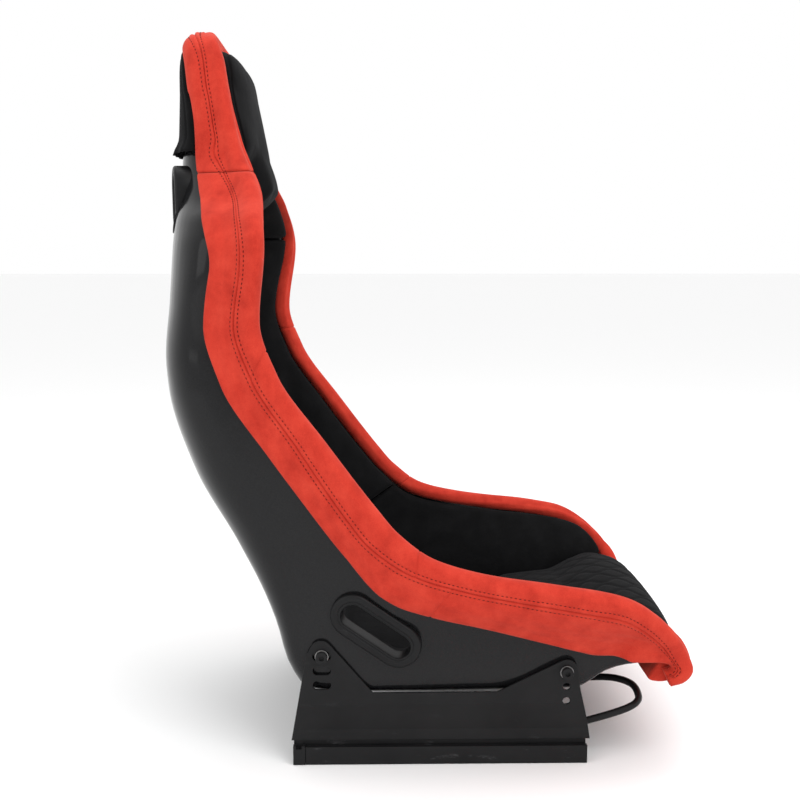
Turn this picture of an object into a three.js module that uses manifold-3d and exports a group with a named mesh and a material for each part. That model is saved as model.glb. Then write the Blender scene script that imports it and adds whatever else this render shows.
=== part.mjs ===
// Fixed-back racing seat on slide rails. Millimetres, +Z up, +X towards the knees, +Y the sitter's left.
// The bucket is described by stations that run from the top of the head, down the back and out along
// the thighs. Every shell, pad and trim surface is an offset of the same station profiles.
import * as THREE from 'three';
import { mergeVertices } from 'three/addons/utils/BufferGeometryUtils.js';
import Module from 'manifold-3d';

const wasm = await Module();
wasm.setup();

// ---------------------------------------------------------------- driving dimensions
const FOOTPRINT_MID_X = 55;      // the drawing datum lies this far behind the middle of the footprint
const GAP = 0.4;                 // clearance between neighbouring pieces
const SHELL = 4;                 // laminate thickness
const RIM_DROP = 14;             // shell rim below the crest of the trim
const TRIM_OUT = 12;             // padding of the trim outside the shell
const TRIM_IN = 12;              // padding of the trim inside the shell
const TRIM_LIP = 26;             // how far the trim reaches down the inside
const LINING = 18;               // foam of the side linings

const RAIL_Y = 198;              // rail centre from the middle plane
const RAIL_BACK = -94;
const RAIL_FRONT = 258;
const CAP_LENGTH = 15.5;
const UPPER_BACK = -109;
const UPPER_TOP = 28.4;
const SHEET = 3;                 // bracket steel
const PLATE_Y = 216;             // outer face of the bracket's upright
const FOOT_Y = 209;              // outer face of the bracket's lower lip
const REAR_BOLT = [-73, 140];
const FRONT_BOLT = [230.5, 118];
const RAIL_BOLTS_X = [-55, 213];
const FLOOR_HOLES_X = [-80, 247];
const HOLE_PITCH = 18.5;

const PIVOT = [105, 42];         // release lever's pin
const TOOTH_X = 155;
const BAR_RADIUS = 5;
const BAR_Y = 195;

const LAP_SLOT = { station: 22.84, drop: 130, straight: 65.6, inner: 15.4, outer: 29, slope: -33.7 };
const SHOULDER_SLOT = { station: 8, drop: 159, straight: 27, inner: 16.5, outer: 29, slope: 90 };

// The bucket's measures along its stations. Each is set where it turns and runs evenly in between.
const LAST_STATION = 35;
const FLOOR = [                  // station, x, z
  [0, -250, 832], [4, -250, 832], [6, -255, 762], [8, -260, 700], [12, -267, 576], [14, -273, 507],
  [15, -269, 462], [17, -236, 362], [19, -180, 267], [21, -133, 172], [22, -117, 122], [23, -90, 90],
  [24, -40, 87], [28, 240, 89], [29, 278, 110], [30, 306, 124], [32, 342, 130], [35, 345, 130],
];
const CREST = [                  // station, x, z
  [0, -214, 914], [2, -203, 898], [3, -192, 871], [4, -186, 832], [6, -171, 764], [8, -142, 701],
  [10, -133, 643], [13, -142, 552], [15, -121, 488], [17, -66, 410], [19, -4, 328], [20, 21, 299],
  [22, 66, 267], [24, 122, 252], [28, 284, 227], [30, 341, 193], [32, 375, 148], [33, 383, 126],
  [34, 373, 110], [35, 357, 104],
];
const CREST_HALF_WIDTH = [       // station, y
  [0, 0], [1, 55], [2, 98], [3, 121], [4, 129], [6, 138], [8, 195], [9, 240], [10, 256], [14, 228],
  [22, 241], [28, 258], [32, 236], [35, 229],
];
const FLAT_SHARE = [             // station, share of the width that is flat floor
  [0, 0.55], [4, 0.5], [8, 0.28], [9, 0.28], [14, 0.44], [19, 0.64], [22, 0.82], [24, 0.88], [35, 0.92],
];
const WALL_INSET = [             // station, how far the wall leans in from crest to foot
  [0, 6], [4, 10], [9, 28], [12, 18], [15, 14], [19, 20], [20, 28], [22, 31], [24, 36], [28, 50], [29, 46],
  [30, 28], [32, 12], [35, 8],
];
const CORNER = [                 // station, height of the corner between floor and wall
  [0, 20], [4, 34], [9, 74], [13, 66], [17, 72], [19, 58], [22, 28], [24, 24], [29, 22], [32, 12], [35, 10],
];
const TRIM_FLAP = [              // station, how far the trim comes down the outside
  [0, 38], [3, 52], [5, 55], [8, 83], [9, 81], [11, 69], [16, 72], [20, 74], [22, 80], [25, 84], [28, 101],
  [29, 93], [30, 74], [32, 34], [35, 22],
];
const HEAD_SIDE = 4;             // station where the head's arch ends and the level sections begin
const SHELL_END = 32;            // last station that the shell reaches
const NECK = 8;                  // head pad meets back pad
const LOIN = 21;                 // back pad meets cushion
const TRIM_JOINTS = { head: 7, waist: 20, tip: 35 };
const SHELL_COLUMNS = [0, 6, 11, 16, 19, 22, 25, 28, 34];   // profile points that the shell keeps

// ---------------------------------------------------------------- materials
const surface = (color, roughness, metalness = 0) => (
  new THREE.MeshStandardMaterial({ color, roughness, metalness }));
const redSuede = surface(0xd8392b, 0.92);
const blackSuede = surface(0x0d0d0e, 0.95);
const gelcoat = surface(0x121212, 0.18);
const bezelPlastic = surface(0x2c2c2d, 0.5);
const blackSteel = surface(0x1c1c1d, 0.45, 0.6);
const zincSteel = surface(0x8a8b8d, 0.35, 0.9);
const springSteel = surface(0x55565a, 0.4, 0.8);
const nylon = surface(0x161616, 0.6);

const seat = new THREE.Group();
seat.position.x = -FOOTPRINT_MID_X;

function addPart(name, geometry, material) {
  const mesh = new THREE.Mesh(geometry, material);
  mesh.name = name;
  seat.add(mesh);
}

// ---------------------------------------------------------------- solids from meshes
function weld(geometry) {
  const bare = geometry.index ? geometry.toNonIndexed() : geometry.clone();
  bare.deleteAttribute('normal');
  bare.deleteAttribute('uv');
  const welded = mergeVertices(bare, 1e-3);
  const old = welded.index.array;
  const kept = [];
  for (let i = 0; i < old.length; i += 3) {
    const [a, b, c] = [old[i], old[i + 1], old[i + 2]];
    if (a !== b && b !== c && c !== a) kept.push(a, b, c);
  }
  welded.setIndex(kept);
  return welded;
}

function signedVolume(geometry) {
  const p = geometry.attributes.position;
  const index = geometry.index.array;
  const [a, b, c] = [new THREE.Vector3(), new THREE.Vector3(), new THREE.Vector3()];
  let total = 0;
  for (let i = 0; i < index.length; i += 3) {
    a.fromBufferAttribute(p, index[i]);
    b.fromBufferAttribute(p, index[i + 1]);
    c.fromBufferAttribute(p, index[i + 2]);
    total += a.dot(b.cross(c));
  }
  return total;
}

// Closed, welded, and facing out whichever way its triangles were listed.
function closedBody(points, triangles) {
  const raw = new THREE.BufferGeometry();
  raw.setAttribute('position', new THREE.Float32BufferAttribute(points.flat(), 3));
  raw.setIndex(triangles.flat());
  const body = weld(raw);
  if (signedVolume(body) < 0) body.setIndex(Array.from(body.index.array).reverse());
  return body;
}

function toSolid(geometry) {
  const welded = weld(geometry);
  return new wasm.Manifold(new wasm.Mesh({
    numProp: 3,
    vertProperties: new Float32Array(welded.attributes.position.array),
    triVerts: new Uint32Array(welded.index.array),
  }));
}

function toGeometry(solid) {
  const mesh = solid.getMesh();
  const geometry = new THREE.BufferGeometry();
  geometry.setAttribute('position', new THREE.BufferAttribute(mesh.vertProperties, 3));
  geometry.setIndex(new THREE.BufferAttribute(mesh.triVerts, 1));
  return geometry;
}

const cut = (body, ...tools) => toGeometry(tools.reduce((s, t) => s.subtract(toSolid(t)), toSolid(body)));
const join = (...bodies) => toGeometry(bodies.map(toSolid).reduce((s, t) => s.add(t)));
const common = (one, other) => toGeometry(toSolid(one).intersect(toSolid(other)));

// ---------------------------------------------------------------- station profiles
const lerp = THREE.MathUtils.lerp;
const clamp = THREE.MathUtils.clamp;
const smooth = (t) => THREE.MathUtils.smoothstep(t, 0, 1);

// A measure at station u: a curve through its points that never runs past them. It mirrors at station 0.
function measure(points, u, column = 1, mirror = 1) {
  const rows = points.map((row) => [row[0], row[column]]);
  rows.unshift([-rows[1][0], mirror * rows[1][1]]);
  const last = rows.length - 1;
  const rise = (i) => (rows[i + 1][1] - rows[i][1]) / (rows[i + 1][0] - rows[i][0]);
  const slope = (i) => {
    if (i === last) return rise(i - 1);
    const [before, after] = [rise(i - 1), rise(i)];
    return before * after > 0 ? 2 * before * after / (before + after) : 0;
  };
  let k = 1;
  while (k < last - 1 && rows[k + 1][0] <= u) k += 1;
  const length = rows[k + 1][0] - rows[k][0];
  const f = (u - rows[k][0]) / length;
  const level = rows[k][1] * (1 + 2 * f) * (1 - f) ** 2 + rows[k + 1][1] * f * f * (3 - 2 * f);
  return level + length * f * (1 - f) * (slope(k) * (1 - f) - slope(k + 1) * f);
}

function bezier(p, t) {
  const s = 1 - t;
  const weights = [s * s * s, 3 * s * s * t, 3 * s * t * t, t * t * t];
  return [0, 1].map((i) => p.reduce((sum, q, n) => sum + q[i] * weights[n], 0));
}

// Half section from the crest down the wall, round the corner and in to the middle line.
function halfProfile(width, depth, flat, inset, corner) {
  const foot = width - inset;
  const edge = flat * foot;
  const rise = depth - corner;
  const wall = [[width, depth], [width, depth - 0.35 * rise], [foot, corner + 0.65 * rise], [foot, corner]];
  const bend = [[foot, corner], [foot, 0.4 * corner], [edge + 0.6 * (foot - edge), 0], [edge, 0]];
  const points = [];
  for (let i = 0; i < 16; i += 1) points.push(bezier(wall, i / 16));
  for (let i = 0; i < 12; i += 1) points.push(bezier(bend, i / 12));
  for (let i = 0; i <= 6; i += 1) points.push([edge * (1 - i / 6), 0]);
  return points;
}

function section(u) {
  const [fx, fz] = [1, 2].map((column) => measure(FLOOR, u, column));
  const [cx, cz] = [1, 2].map((column) => measure(CREST, u, column));
  const cy = measure(CREST_HALF_WIDTH, u, 1, -1);
  const [flat, inset, corner, flap] = [FLAT_SHARE, WALL_INSET, CORNER, TRIM_FLAP].map((m) => measure(m, u));
  const [ax, az] = u < HEAD_SIDE ? [1, 0] : [cx - fx, cz - fz];
  const length = Math.hypot(ax, az);
  const forward = [ax / length, az / length];
  const depth = (cx - fx) * forward[0] + (cz - fz) * forward[1];
  const raise = (cz - fz) * forward[0] - (cx - fx) * forward[1];
  const width = Math.hypot(raise, cy);
  const profile = halfProfile(width, depth, flat, inset, corner);
  const run = [0];
  for (let i = 1; i < profile.length; i += 1) {
    run.push(run[i - 1] + Math.hypot(profile[i][0] - profile[i - 1][0], profile[i][1] - profile[i - 1][1]));
  }
  return { fx, fz, forward, raise: raise / width, across: cy / width, width, depth, profile, run,
    half: run[run.length - 1], flap };
}

function profileNormal(profile, i) {
  const before = profile[Math.max(i - 1, 0)];
  const after = profile[Math.min(i + 1, profile.length - 1)];
  const [dy, dq] = [after[0] - before[0], after[1] - before[1]];
  const length = Math.hypot(dy, dq);
  return [dq / length, -dy / length];
}

// Point of a section: run along the profile from the crest, offset towards the sitter, side -1 or 1.
function flatPoint(s, along, offset) {
  const a = clamp(along, 0, s.half);
  let i = 1;
  while (s.run[i] < a && i < s.run.length - 1) i += 1;
  const f = (a - s.run[i - 1]) / (s.run[i] - s.run[i - 1]);
  const [n0, n1] = [profileNormal(s.profile, i - 1), profileNormal(s.profile, i)];
  const n = [lerp(n0[0], n1[0], f), lerp(n0[1], n1[1], f)];
  const size = Math.hypot(n[0], n[1]);
  return [0, 1].map((c) => lerp(s.profile[i - 1][c], s.profile[i][c], f) + (n[c] / size) * offset);
}

function place(s, [y, q], side) {
  const lift = y * s.raise;
  return [
    s.fx + q * s.forward[0] - lift * s.forward[1],
    side * y * s.across,
    s.fz + q * s.forward[1] + lift * s.forward[0],
  ];
}

const skin = (s, along, offset, side) => place(s, flatPoint(s, along, offset), side);

// Run along the profile, from the crest, to where it stands y away from the middle line.
function runToWidth(s, y) {
  const i = s.profile.findIndex((p, k) => k > 16 && p[0] <= y);
  const [outer, inner] = [s.profile[i - 1][0], s.profile[i][0]];
  return lerp(s.run[i - 1], s.run[i], (outer - y) / (outer - inner));
}

// ---------------------------------------------------------------- bodies from grids and rings
// Two layers of the same grid, joined round the open edges. open names the edges left unclosed.
function slabFromGrid(rows, columns, point, { firstColumn = true, lastColumn = true } = {}) {
  const points = [];
  const triangles = [];
  const id = (layer, i, j) => (layer * (rows + 1) + i) * (columns + 1) + j;
  for (const layer of [0, 1]) {
    for (let i = 0; i <= rows; i += 1) {
      for (let j = 0; j <= columns; j += 1) points.push(point(layer, i, j));
    }
  }
  const quad = (a, b, c, d) => triangles.push([a, b, c], [a, c, d]);
  for (let i = 0; i < rows; i += 1) {
    for (let j = 0; j < columns; j += 1) {
      quad(id(0, i, j), id(0, i + 1, j), id(0, i + 1, j + 1), id(0, i, j + 1));
      quad(id(1, i, j), id(1, i, j + 1), id(1, i + 1, j + 1), id(1, i + 1, j));
    }
  }
  for (let j = 0; j < columns; j += 1) {
    quad(id(0, 0, j), id(0, 0, j + 1), id(1, 0, j + 1), id(1, 0, j));
    quad(id(0, rows, j), id(1, rows, j), id(1, rows, j + 1), id(0, rows, j + 1));
  }
  for (let i = 0; i < rows; i += 1) {
    if (firstColumn) quad(id(0, i, 0), id(1, i, 0), id(1, i + 1, 0), id(0, i + 1, 0));
    if (lastColumn) quad(id(0, i, columns), id(0, i + 1, columns), id(1, i + 1, columns), id(1, i, columns));
  }
  return closedBody(points, triangles);
}

// A closed outline carried through a row of rings, capped at both ends.
function bodyFromRings(rings, outline) {
  const size = outline.length;
  const points = rings.flat();
  const triangles = [];
  for (let r = 0; r + 1 < rings.length; r += 1) {
    for (let j = 0; j < size; j += 1) {
      const [a, b] = [r * size + j, r * size + ((j + 1) % size)];
      triangles.push([a, b, b + size], [a, b + size, a + size]);
    }
  }
  const shape = outline.map(([x, y]) => new THREE.Vector2(x, y));
  const faces = THREE.ShapeUtils.triangulateShape(shape, []);
  const turns = ([a, b, c]) => Math.sign(THREE.ShapeUtils.area([shape[a], shape[b], shape[c]]));
  const way = Math.sign(THREE.ShapeUtils.area(shape));
  const last = (rings.length - 1) * size;
  for (const face of faces) {
    const [a, b, c] = turns(face) === way ? face : [...face].reverse();
    triangles.push([a, c, b], [last + a, last + b, last + c]);
  }
  return closedBody(points, triangles);
}

function steps(from, to, count) {
  return Array.from({ length: count + 1 }, (_, i) => lerp(from, to, i / count));
}

// The whole stations between two places, with the places themselves.
function sidePath(from, to, side) {
  const between = Array.from({ length: LAST_STATION }, (_, k) => k).filter((k) => k > from && k < to);
  return [from, ...between, to].map((u) => ({ u, side }));
}

// Stations met on the way from one side, over the head, to the other.
const overHead = (end) => [...sidePath(0, end, -1).reverse(), ...sidePath(0, end, 1).slice(1)];

// ---------------------------------------------------------------- shell
function shellBody(outside, inside, drop) {
  const path = overHead(SHELL_END);
  return slabFromGrid(path.length - 1, SHELL_COLUMNS.length - 1, (layer, i, j) => {
    const s = section(path[i].u);
    const along = lerp(drop, s.half, s.run[SHELL_COLUMNS[j]] / s.half);
    return skin(s, along, layer ? inside : outside, path[i].side);
  }, { lastColumn: false });
}

// Local frame of a slot: centre on the outer face, long axis at its slope seen from the side, normal outwards.
function slotFrame(slot, side) {
  const s = section(slot.station);
  const centre = new THREE.Vector3(...skin(s, slot.drop, 0, side));
  const outer = new THREE.Vector3(...skin(s, slot.drop, -10, side));
  const normal = outer.sub(centre).normalize();
  const slope = THREE.MathUtils.degToRad(slot.slope);
  const length = new THREE.Vector3(Math.cos(slope), 0, Math.sin(slope));
  length.addScaledVector(normal, -length.dot(normal)).normalize();
  const width = new THREE.Vector3().crossVectors(normal, length);
  return new THREE.Matrix4().makeBasis(length, width, normal).setPosition(centre);
}

function obround(straight, radius, Kind = THREE.Shape) {
  const half = straight / 2;
  const shape = new Kind();
  shape.moveTo(-half, -radius);
  shape.lineTo(half, -radius);
  shape.absarc(half, 0, radius, -Math.PI / 2, Math.PI / 2, false);
  shape.lineTo(-half, radius);
  shape.absarc(-half, 0, radius, Math.PI / 2, (3 * Math.PI) / 2, false);
  return shape;
}

function slotPrism(slot, side, radius, from, to, hole = 0) {
  const shape = obround(slot.straight, radius);
  if (hole) shape.holes.push(obround(slot.straight, hole, THREE.Path));
  const prism = new THREE.ExtrudeGeometry(shape, { depth: to - from, bevelEnabled: false, curveSegments: 4 });
  prism.translate(0, 0, from);
  prism.applyMatrix4(slotFrame(slot, side));
  return prism;
}

const SLOTS = [['lap', LAP_SLOT], ['shoulder', SHOULDER_SLOT]];
const SIDES = [['right', -1], ['left', 1]];
const slotCutters = [];
for (const [, slot] of SLOTS) {
  for (const [, side] of SIDES) slotCutters.push(slotPrism(slot, side, slot.inner + 4, -70, 40));
}

function rodAcross(x, z, radius, fromY, toY, sides = 12) {
  const rod = new THREE.CylinderGeometry(radius, radius, Math.abs(toY - fromY), sides);
  rod.translate(x, (fromY + toY) / 2, z);
  return rod;
}

const boltHoles = [];
const nutPockets = [];
for (const [, side] of SIDES) {
  for (const [x, z] of [REAR_BOLT, FRONT_BOLT]) {
    boltHoles.push(rodAcross(x, z, 4.6, side * 190, side * 230, 8));
    nutPockets.push(rodAcross(x, z, 11, side * 190, side * 230, 8));
  }
}
addPart('shell', cut(shellBody(0, SHELL, RIM_DROP), ...slotCutters, ...boltHoles), gelcoat);

// ---------------------------------------------------------------- trims
const shellClearance = shellBody(-GAP, SHELL + GAP, RIM_DROP - GAP);

function trimOutline(flap, grow = 0) {
  const inner = SHELL + GAP + grow;
  return [
    [flap, 0], [flap, -0.25 * TRIM_OUT], [flap - 4, -0.7 * TRIM_OUT], [flap * 0.62, -0.95 * TRIM_OUT],
    [flap * 0.34, -TRIM_OUT], [10, -0.86 * TRIM_OUT], [3, -0.5 * TRIM_OUT], [0, 0], [1, 7],
    [5, inner + 0.66 * TRIM_IN], [12, inner + TRIM_IN], [TRIM_LIP - 5, inner + 0.92 * TRIM_IN],
    [TRIM_LIP + grow, inner + 0.4 * TRIM_IN], [TRIM_LIP + grow, SHELL / 2],
    [lerp(TRIM_LIP, flap, 0.3), SHELL / 2], [lerp(TRIM_LIP, flap, 0.7), SHELL / 2],
  ];
}

function trimRoll(path, grow = 0) {
  const rings = path.map(({ u, side }) => {
    const s = section(u);
    return trimOutline(s.flap, grow).map(([along, offset]) => skin(s, along, offset, side));
  });
  return bodyFromRings(rings, trimOutline(60));
}

const trimBody = (path) => cut(trimRoll(path), shellClearance);

const JOINT = 0.01;              // half the gap between trims, in stations
addPart('head_trim', trimBody(overHead(TRIM_JOINTS.head - JOINT)), redSuede);
for (const [name, side] of SIDES) {
  const back = sidePath(TRIM_JOINTS.head + JOINT, TRIM_JOINTS.waist - JOINT, side);
  const thigh = sidePath(TRIM_JOINTS.waist + JOINT, TRIM_JOINTS.tip, side);
  addPart(`back_trim_${name}`, trimBody(back), redSuede);
  addPart(`thigh_trim_${name}`, trimBody(thigh), redSuede);
}

// The front roll lies across the pan's lip, between the two rounded tips of the thigh trims.
function extrudeOutline(outline, from, to, axis) {
  const shape = new THREE.Shape(outline.map(([a, b]) => new THREE.Vector2(a, b)));
  const body = new THREE.ExtrudeGeometry(shape, { depth: Math.abs(to - from), bevelEnabled: false });
  if (axis === 'x') body.applyMatrix4(new THREE.Matrix4().set(0, 0, 1, 0, 1, 0, 0, 0, 0, 1, 0, 0, 0, 0, 0, 1));
  if (axis === 'y') body.applyMatrix4(new THREE.Matrix4().set(1, 0, 0, 0, 0, 0, -1, 0, 0, 1, 0, 0, 0, 0, 0, 1));
  const start = axis === 'x' ? Math.min(from, to) : Math.max(from, to);
  body.translate(axis === 'x' ? start : 0, axis === 'y' ? start : 0, 0);
  return body;
}

function arcPoints(x, y, radius, fromDegrees, toDegrees, count) {
  return steps(fromDegrees, toDegrees, count).map((angle) => {
    const a = THREE.MathUtils.degToRad(angle);
    return [x + radius * Math.cos(a), y + radius * Math.sin(a)];
  });
}

// The front band folds from the cushion's edge round the pan's lip and back underneath, tip to tip.
const FRONT_BAND_HALF = 204;
const FRONT_BAND = [
  [346, 130.5], [374, 145.5], [380.5, 138], [384, 128], [382, 117], [375, 109.5], [358, 103.5], [332, 103.5],
  [332, 112],
];
const frontBand = extrudeOutline(FRONT_BAND, -FRONT_BAND_HALF, FRONT_BAND_HALF, 'y');
addPart('front_trim', cut(frontBand, shellClearance), redSuede);

// ---------------------------------------------------------------- pads
// Fraction 0 is the pad's edge beside the trim and 1 is the middle line.
const PAD_START = TRIM_LIP + 1.5;
const PAD_LIFT = 3;              // glue line and shell curvature under a pad

function paddedGrid(path, columns, along, top, ends) {
  return slabFromGrid(path.length - 1, columns, (layer, i, j) => {
    const { u, side } = path[i];
    const s = section(u);
    const a = along(s, j / columns, u);
    return layer ? place(s, top(s, j / columns, a, u), side) : skin(s, a, SHELL + PAD_LIFT, side);
  }, ends);
}

const padRun = (s, f) => lerp(PAD_START, s.half, f);

// A pad leaves room for the slots that pass through it, and for the nuts behind the shell.
const padClearance = [...slotCutters, ...nutPockets];
const addPad = (name, body, ...more) => addPart(name, cut(body, ...padClearance, ...more), blackSuede);

// Head pad: a crowned cushion that stands proud of the trim, fullest at the middle.
const HEAD_CROWN = 89;
function headTop(s, f, a, u) {
  const [y, q] = flatPoint(s, a, SHELL + 14);
  const crown = lerp(HEAD_CROWN, s.depth + 23, smooth((u - HEAD_SIDE) / 2));
  const fade = smooth((NECK + 0.3 - u) / 1.2);
  const rise = Math.sin(Math.min(1, f * 1.15) * Math.PI / 2);
  const full = lerp(s.depth - 10, lerp(0.72 * crown, crown, fade), rise);
  return [y, Math.max(q, full)];
}
const headPath = overHead(NECK - JOINT);
const headTrimClearance = trimRoll(overHead(TRIM_JOINTS.head), 1);
const shoulderClearance = SIDES.map(([, side]) => trimRoll(sidePath(TRIM_JOINTS.head, NECK, side), 1));
const headPad = paddedGrid(headPath, 6, padRun, headTop, { lastColumn: false });
addPad('head_pad', headPad, shellClearance, headTrimClearance, ...shoulderClearance);

// Cover on the rear of the head, from the trim's edge down to a raw hem.
const HOOD_HEM = 6.1;
const hoodPath = overHead(HOOD_HEM);
const hood = slabFromGrid(hoodPath.length - 1, 8, (layer, i, j) => {
  const { u, side } = hoodPath[i];
  const s = section(u);
  return skin(s, lerp(s.flap + 2, s.half, j / 8), layer ? -5 : -2, side);
}, { lastColumn: false });
addPart('head_rear_cover', hood, blackSuede);

// Back pad: the middle panel; the wings on both sides carry their own linings.
const PANEL_EDGE = 0.5;          // share of the half section where the middle panel begins
const PANEL_FOAM = 32;
function middlePanel(from, to, columns, foam) {
  const path = sidePath(from, to, 1);
  return slabFromGrid(path.length - 1, 2 * columns, (layer, i, j) => {
    const { u } = path[i];
    const s = section(u);
    const f = 1 - Math.abs(j / columns - 1);
    const a = lerp(lerp(PAD_START, s.half, PANEL_EDGE) + 2, s.half, f);
    return skin(s, a, SHELL + (layer ? foam(u, f) : PAD_LIFT), Math.sign(j - columns) || 1);
  });
}
const panelFoam = (u, f) => PANEL_FOAM + 8 * smooth(f / 0.4) - 6;
addPad('back_pad', middlePanel(NECK + JOINT, LOIN, 5, panelFoam));

const wingFoam = (f) => LINING + 14 * Math.sin(Math.PI * f);
for (const [name, side] of SIDES) {
  const wing = sidePath(NECK + JOINT, LOIN, side);
  const wingRun = (s, f) => lerp(PAD_START, lerp(PAD_START, s.half, PANEL_EDGE) - 1, f);
  const wingTop = (s, f, a) => flatPoint(s, a, SHELL + wingFoam(f));
  addPad(`back_bolster_${name}`, paddedGrid(wing, 6, wingRun, wingTop));
}

// Seat linings run along both thighs; the cushion lies between them.
const CUSHION_SIDE = 26;         // from the wall of the shell to the cushion's flank
const thighFoam = (f) => LINING + 4 * Math.sin(Math.PI * f) - 2 * f;
for (const [name, side] of SIDES) {
  const thigh = sidePath(LOIN + JOINT, 31, side);
  const thighRun = (s, f) => lerp(PAD_START, runToWidth(s, s.profile[16][0] - CUSHION_SIDE + 4), f);
  const thighTop = (s, f, a) => {
    const [y, q] = flatPoint(s, a, SHELL + thighFoam(f));
    return [Math.max(y, s.profile[16][0] - CUSHION_SIDE + 3), q];
  };
  addPad(`thigh_lining_${name}`, paddedGrid(thigh, 6, thighRun, thighTop));
}

// Cushion: a crowned slab whose front end rolls over the pan's lip.
const CUSHION_TOP = [
  [LOIN, 62], [22, 60], [24, 48], [25, 47], [28, 62], [30, 53], [32, 40],
];
const cushionPath = sidePath(LOIN + 0.03, 32, 1);
const CUSHION_HALF = 6;
const cushion = slabFromGrid(cushionPath.length - 1, 2 * CUSHION_HALF, (layer, i, j) => {
  const { u } = cushionPath[i];
  const s = section(u);
  const across = j / CUSHION_HALF - 1;
  const foot = s.profile[16][0] - CUSHION_SIDE;
  const y = Math.abs(across) * foot;
  const crown = 10 * (1 - across * across) - 8 * Math.abs(across) ** 6;
  const base = SHELL + PAD_LIFT + 6 * Math.abs(across) ** 4;
  return place(s, [y, layer ? measure(CUSHION_TOP, u) + crown : base], Math.sign(across) || 1);
});
addPad('seat_cushion', cushion);

// ---------------------------------------------------------------- slot bezels
const bucketCore = shellBody(-GAP, SHELL + 40, RIM_DROP);
for (const [where, slot] of SLOTS) {
  for (const [name, side] of SIDES) {
    const flange = cut(slotPrism(slot, side, slot.outer, -12, 7, slot.inner), bucketCore);
    const collar = slotPrism(slot, side, slot.inner + 3.4, -14, 6, slot.inner);
    addPart(`${where}_slot_bezel_${name}`, join(flange, collar), bezelPlastic);
  }
}

// ---------------------------------------------------------------- side brackets
// Outline in x and z, pushed through the whole width of one side.
function throughSide(outline, side) {
  const [from, to] = side > 0 ? [160, 240] : [-240, -160];
  return extrudeOutline(outline, from, to, 'y');
}

const EAR = 14;
const bracketOutline = [
  [-112, UPPER_TOP], [-92, 142], ...arcPoints(REAR_BOLT[0] - 1, 146, EAR, 165, 40, 6), [-10, 93], [144, 93],
  ...arcPoints(FRONT_BOLT[0], 120, EAR, 112, 10, 6), [248, 95], [258, 53], [262, UPPER_TOP],
];
const FOOT_BASE = UPPER_TOP + GAP;
function bentSheet(side) {
  const face = [
    [176, FOOT_BASE], [FOOT_Y, FOOT_BASE], [FOOT_Y, 43], [PLATE_Y, 78], [PLATE_Y, 165],
    [PLATE_Y - SHEET, 165], [PLATE_Y - SHEET, 78.8], [FOOT_Y - SHEET, 43.8],
    [FOOT_Y - SHEET, FOOT_BASE + SHEET], [176, FOOT_BASE + SHEET],
  ];
  return extrudeOutline(face.map(([y, z]) => [side * y, z]), -120, 270, 'x');
}

function adjustSlot(x, z, side) {
  const slot = obround(11.7, 5.5);
  const prism = new THREE.ExtrudeGeometry(slot, { depth: 40, bevelEnabled: false, curveSegments: 6 });
  prism.rotateX(Math.PI / 2);
  prism.translate(x, side * 215 + 20, z);
  return prism;
}

function uprightRod(x, y, radius, fromZ, toZ, sides = 12) {
  const rod = new THREE.CylinderGeometry(radius, radius, toZ - fromZ, sides);
  rod.rotateX(Math.PI / 2);
  rod.translate(x, y, (fromZ + toZ) / 2);
  return rod;
}

function block(x0, x1, y0, y1, z0, z1) {
  const body = new THREE.BoxGeometry(x1 - x0, Math.abs(y1 - y0), z1 - z0);
  body.translate((x0 + x1) / 2, (y0 + y1) / 2, (z0 + z1) / 2);
  return body;
}

const TOOTH_SLOT = { back: TOOTH_X - 8, front: TOOTH_X + 10, half: 5.5 };
const toothSlot = (side) => block(TOOTH_SLOT.back, TOOTH_SLOT.front,
  side * (RAIL_Y - TOOTH_SLOT.half), side * (RAIL_Y + TOOTH_SLOT.half), 20, 40);

for (const [name, side] of SIDES) {
  const plate = common(bentSheet(side), throughSide(bracketOutline, side));
  const holes = [toothSlot(side)];
  for (const k of [0, 1, 2]) {
    holes.push(adjustSlot(REAR_BOLT[0], REAR_BOLT[1] - k * HOLE_PITCH, side));
    holes.push(rodAcross(FRONT_BOLT[0], FRONT_BOLT[1] - k * HOLE_PITCH, 4.6, side * 205, side * 225));
  }
  for (const x of RAIL_BOLTS_X) holes.push(uprightRod(x, side * RAIL_Y, 4.6, 20, 45));
  const lug = block(PIVOT[0] - 9, PIVOT[0] + 9, side * 180, side * 183, FOOT_BASE + 0.5, PIVOT[1] + 9);
  const pinHole = rodAcross(PIVOT[0], PIVOT[1], 3.3, side * 176, side * 187);
  addPart(`side_bracket_${name}`, cut(join(plate, lug), ...holes, pinHole), blackSteel);
}

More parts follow.
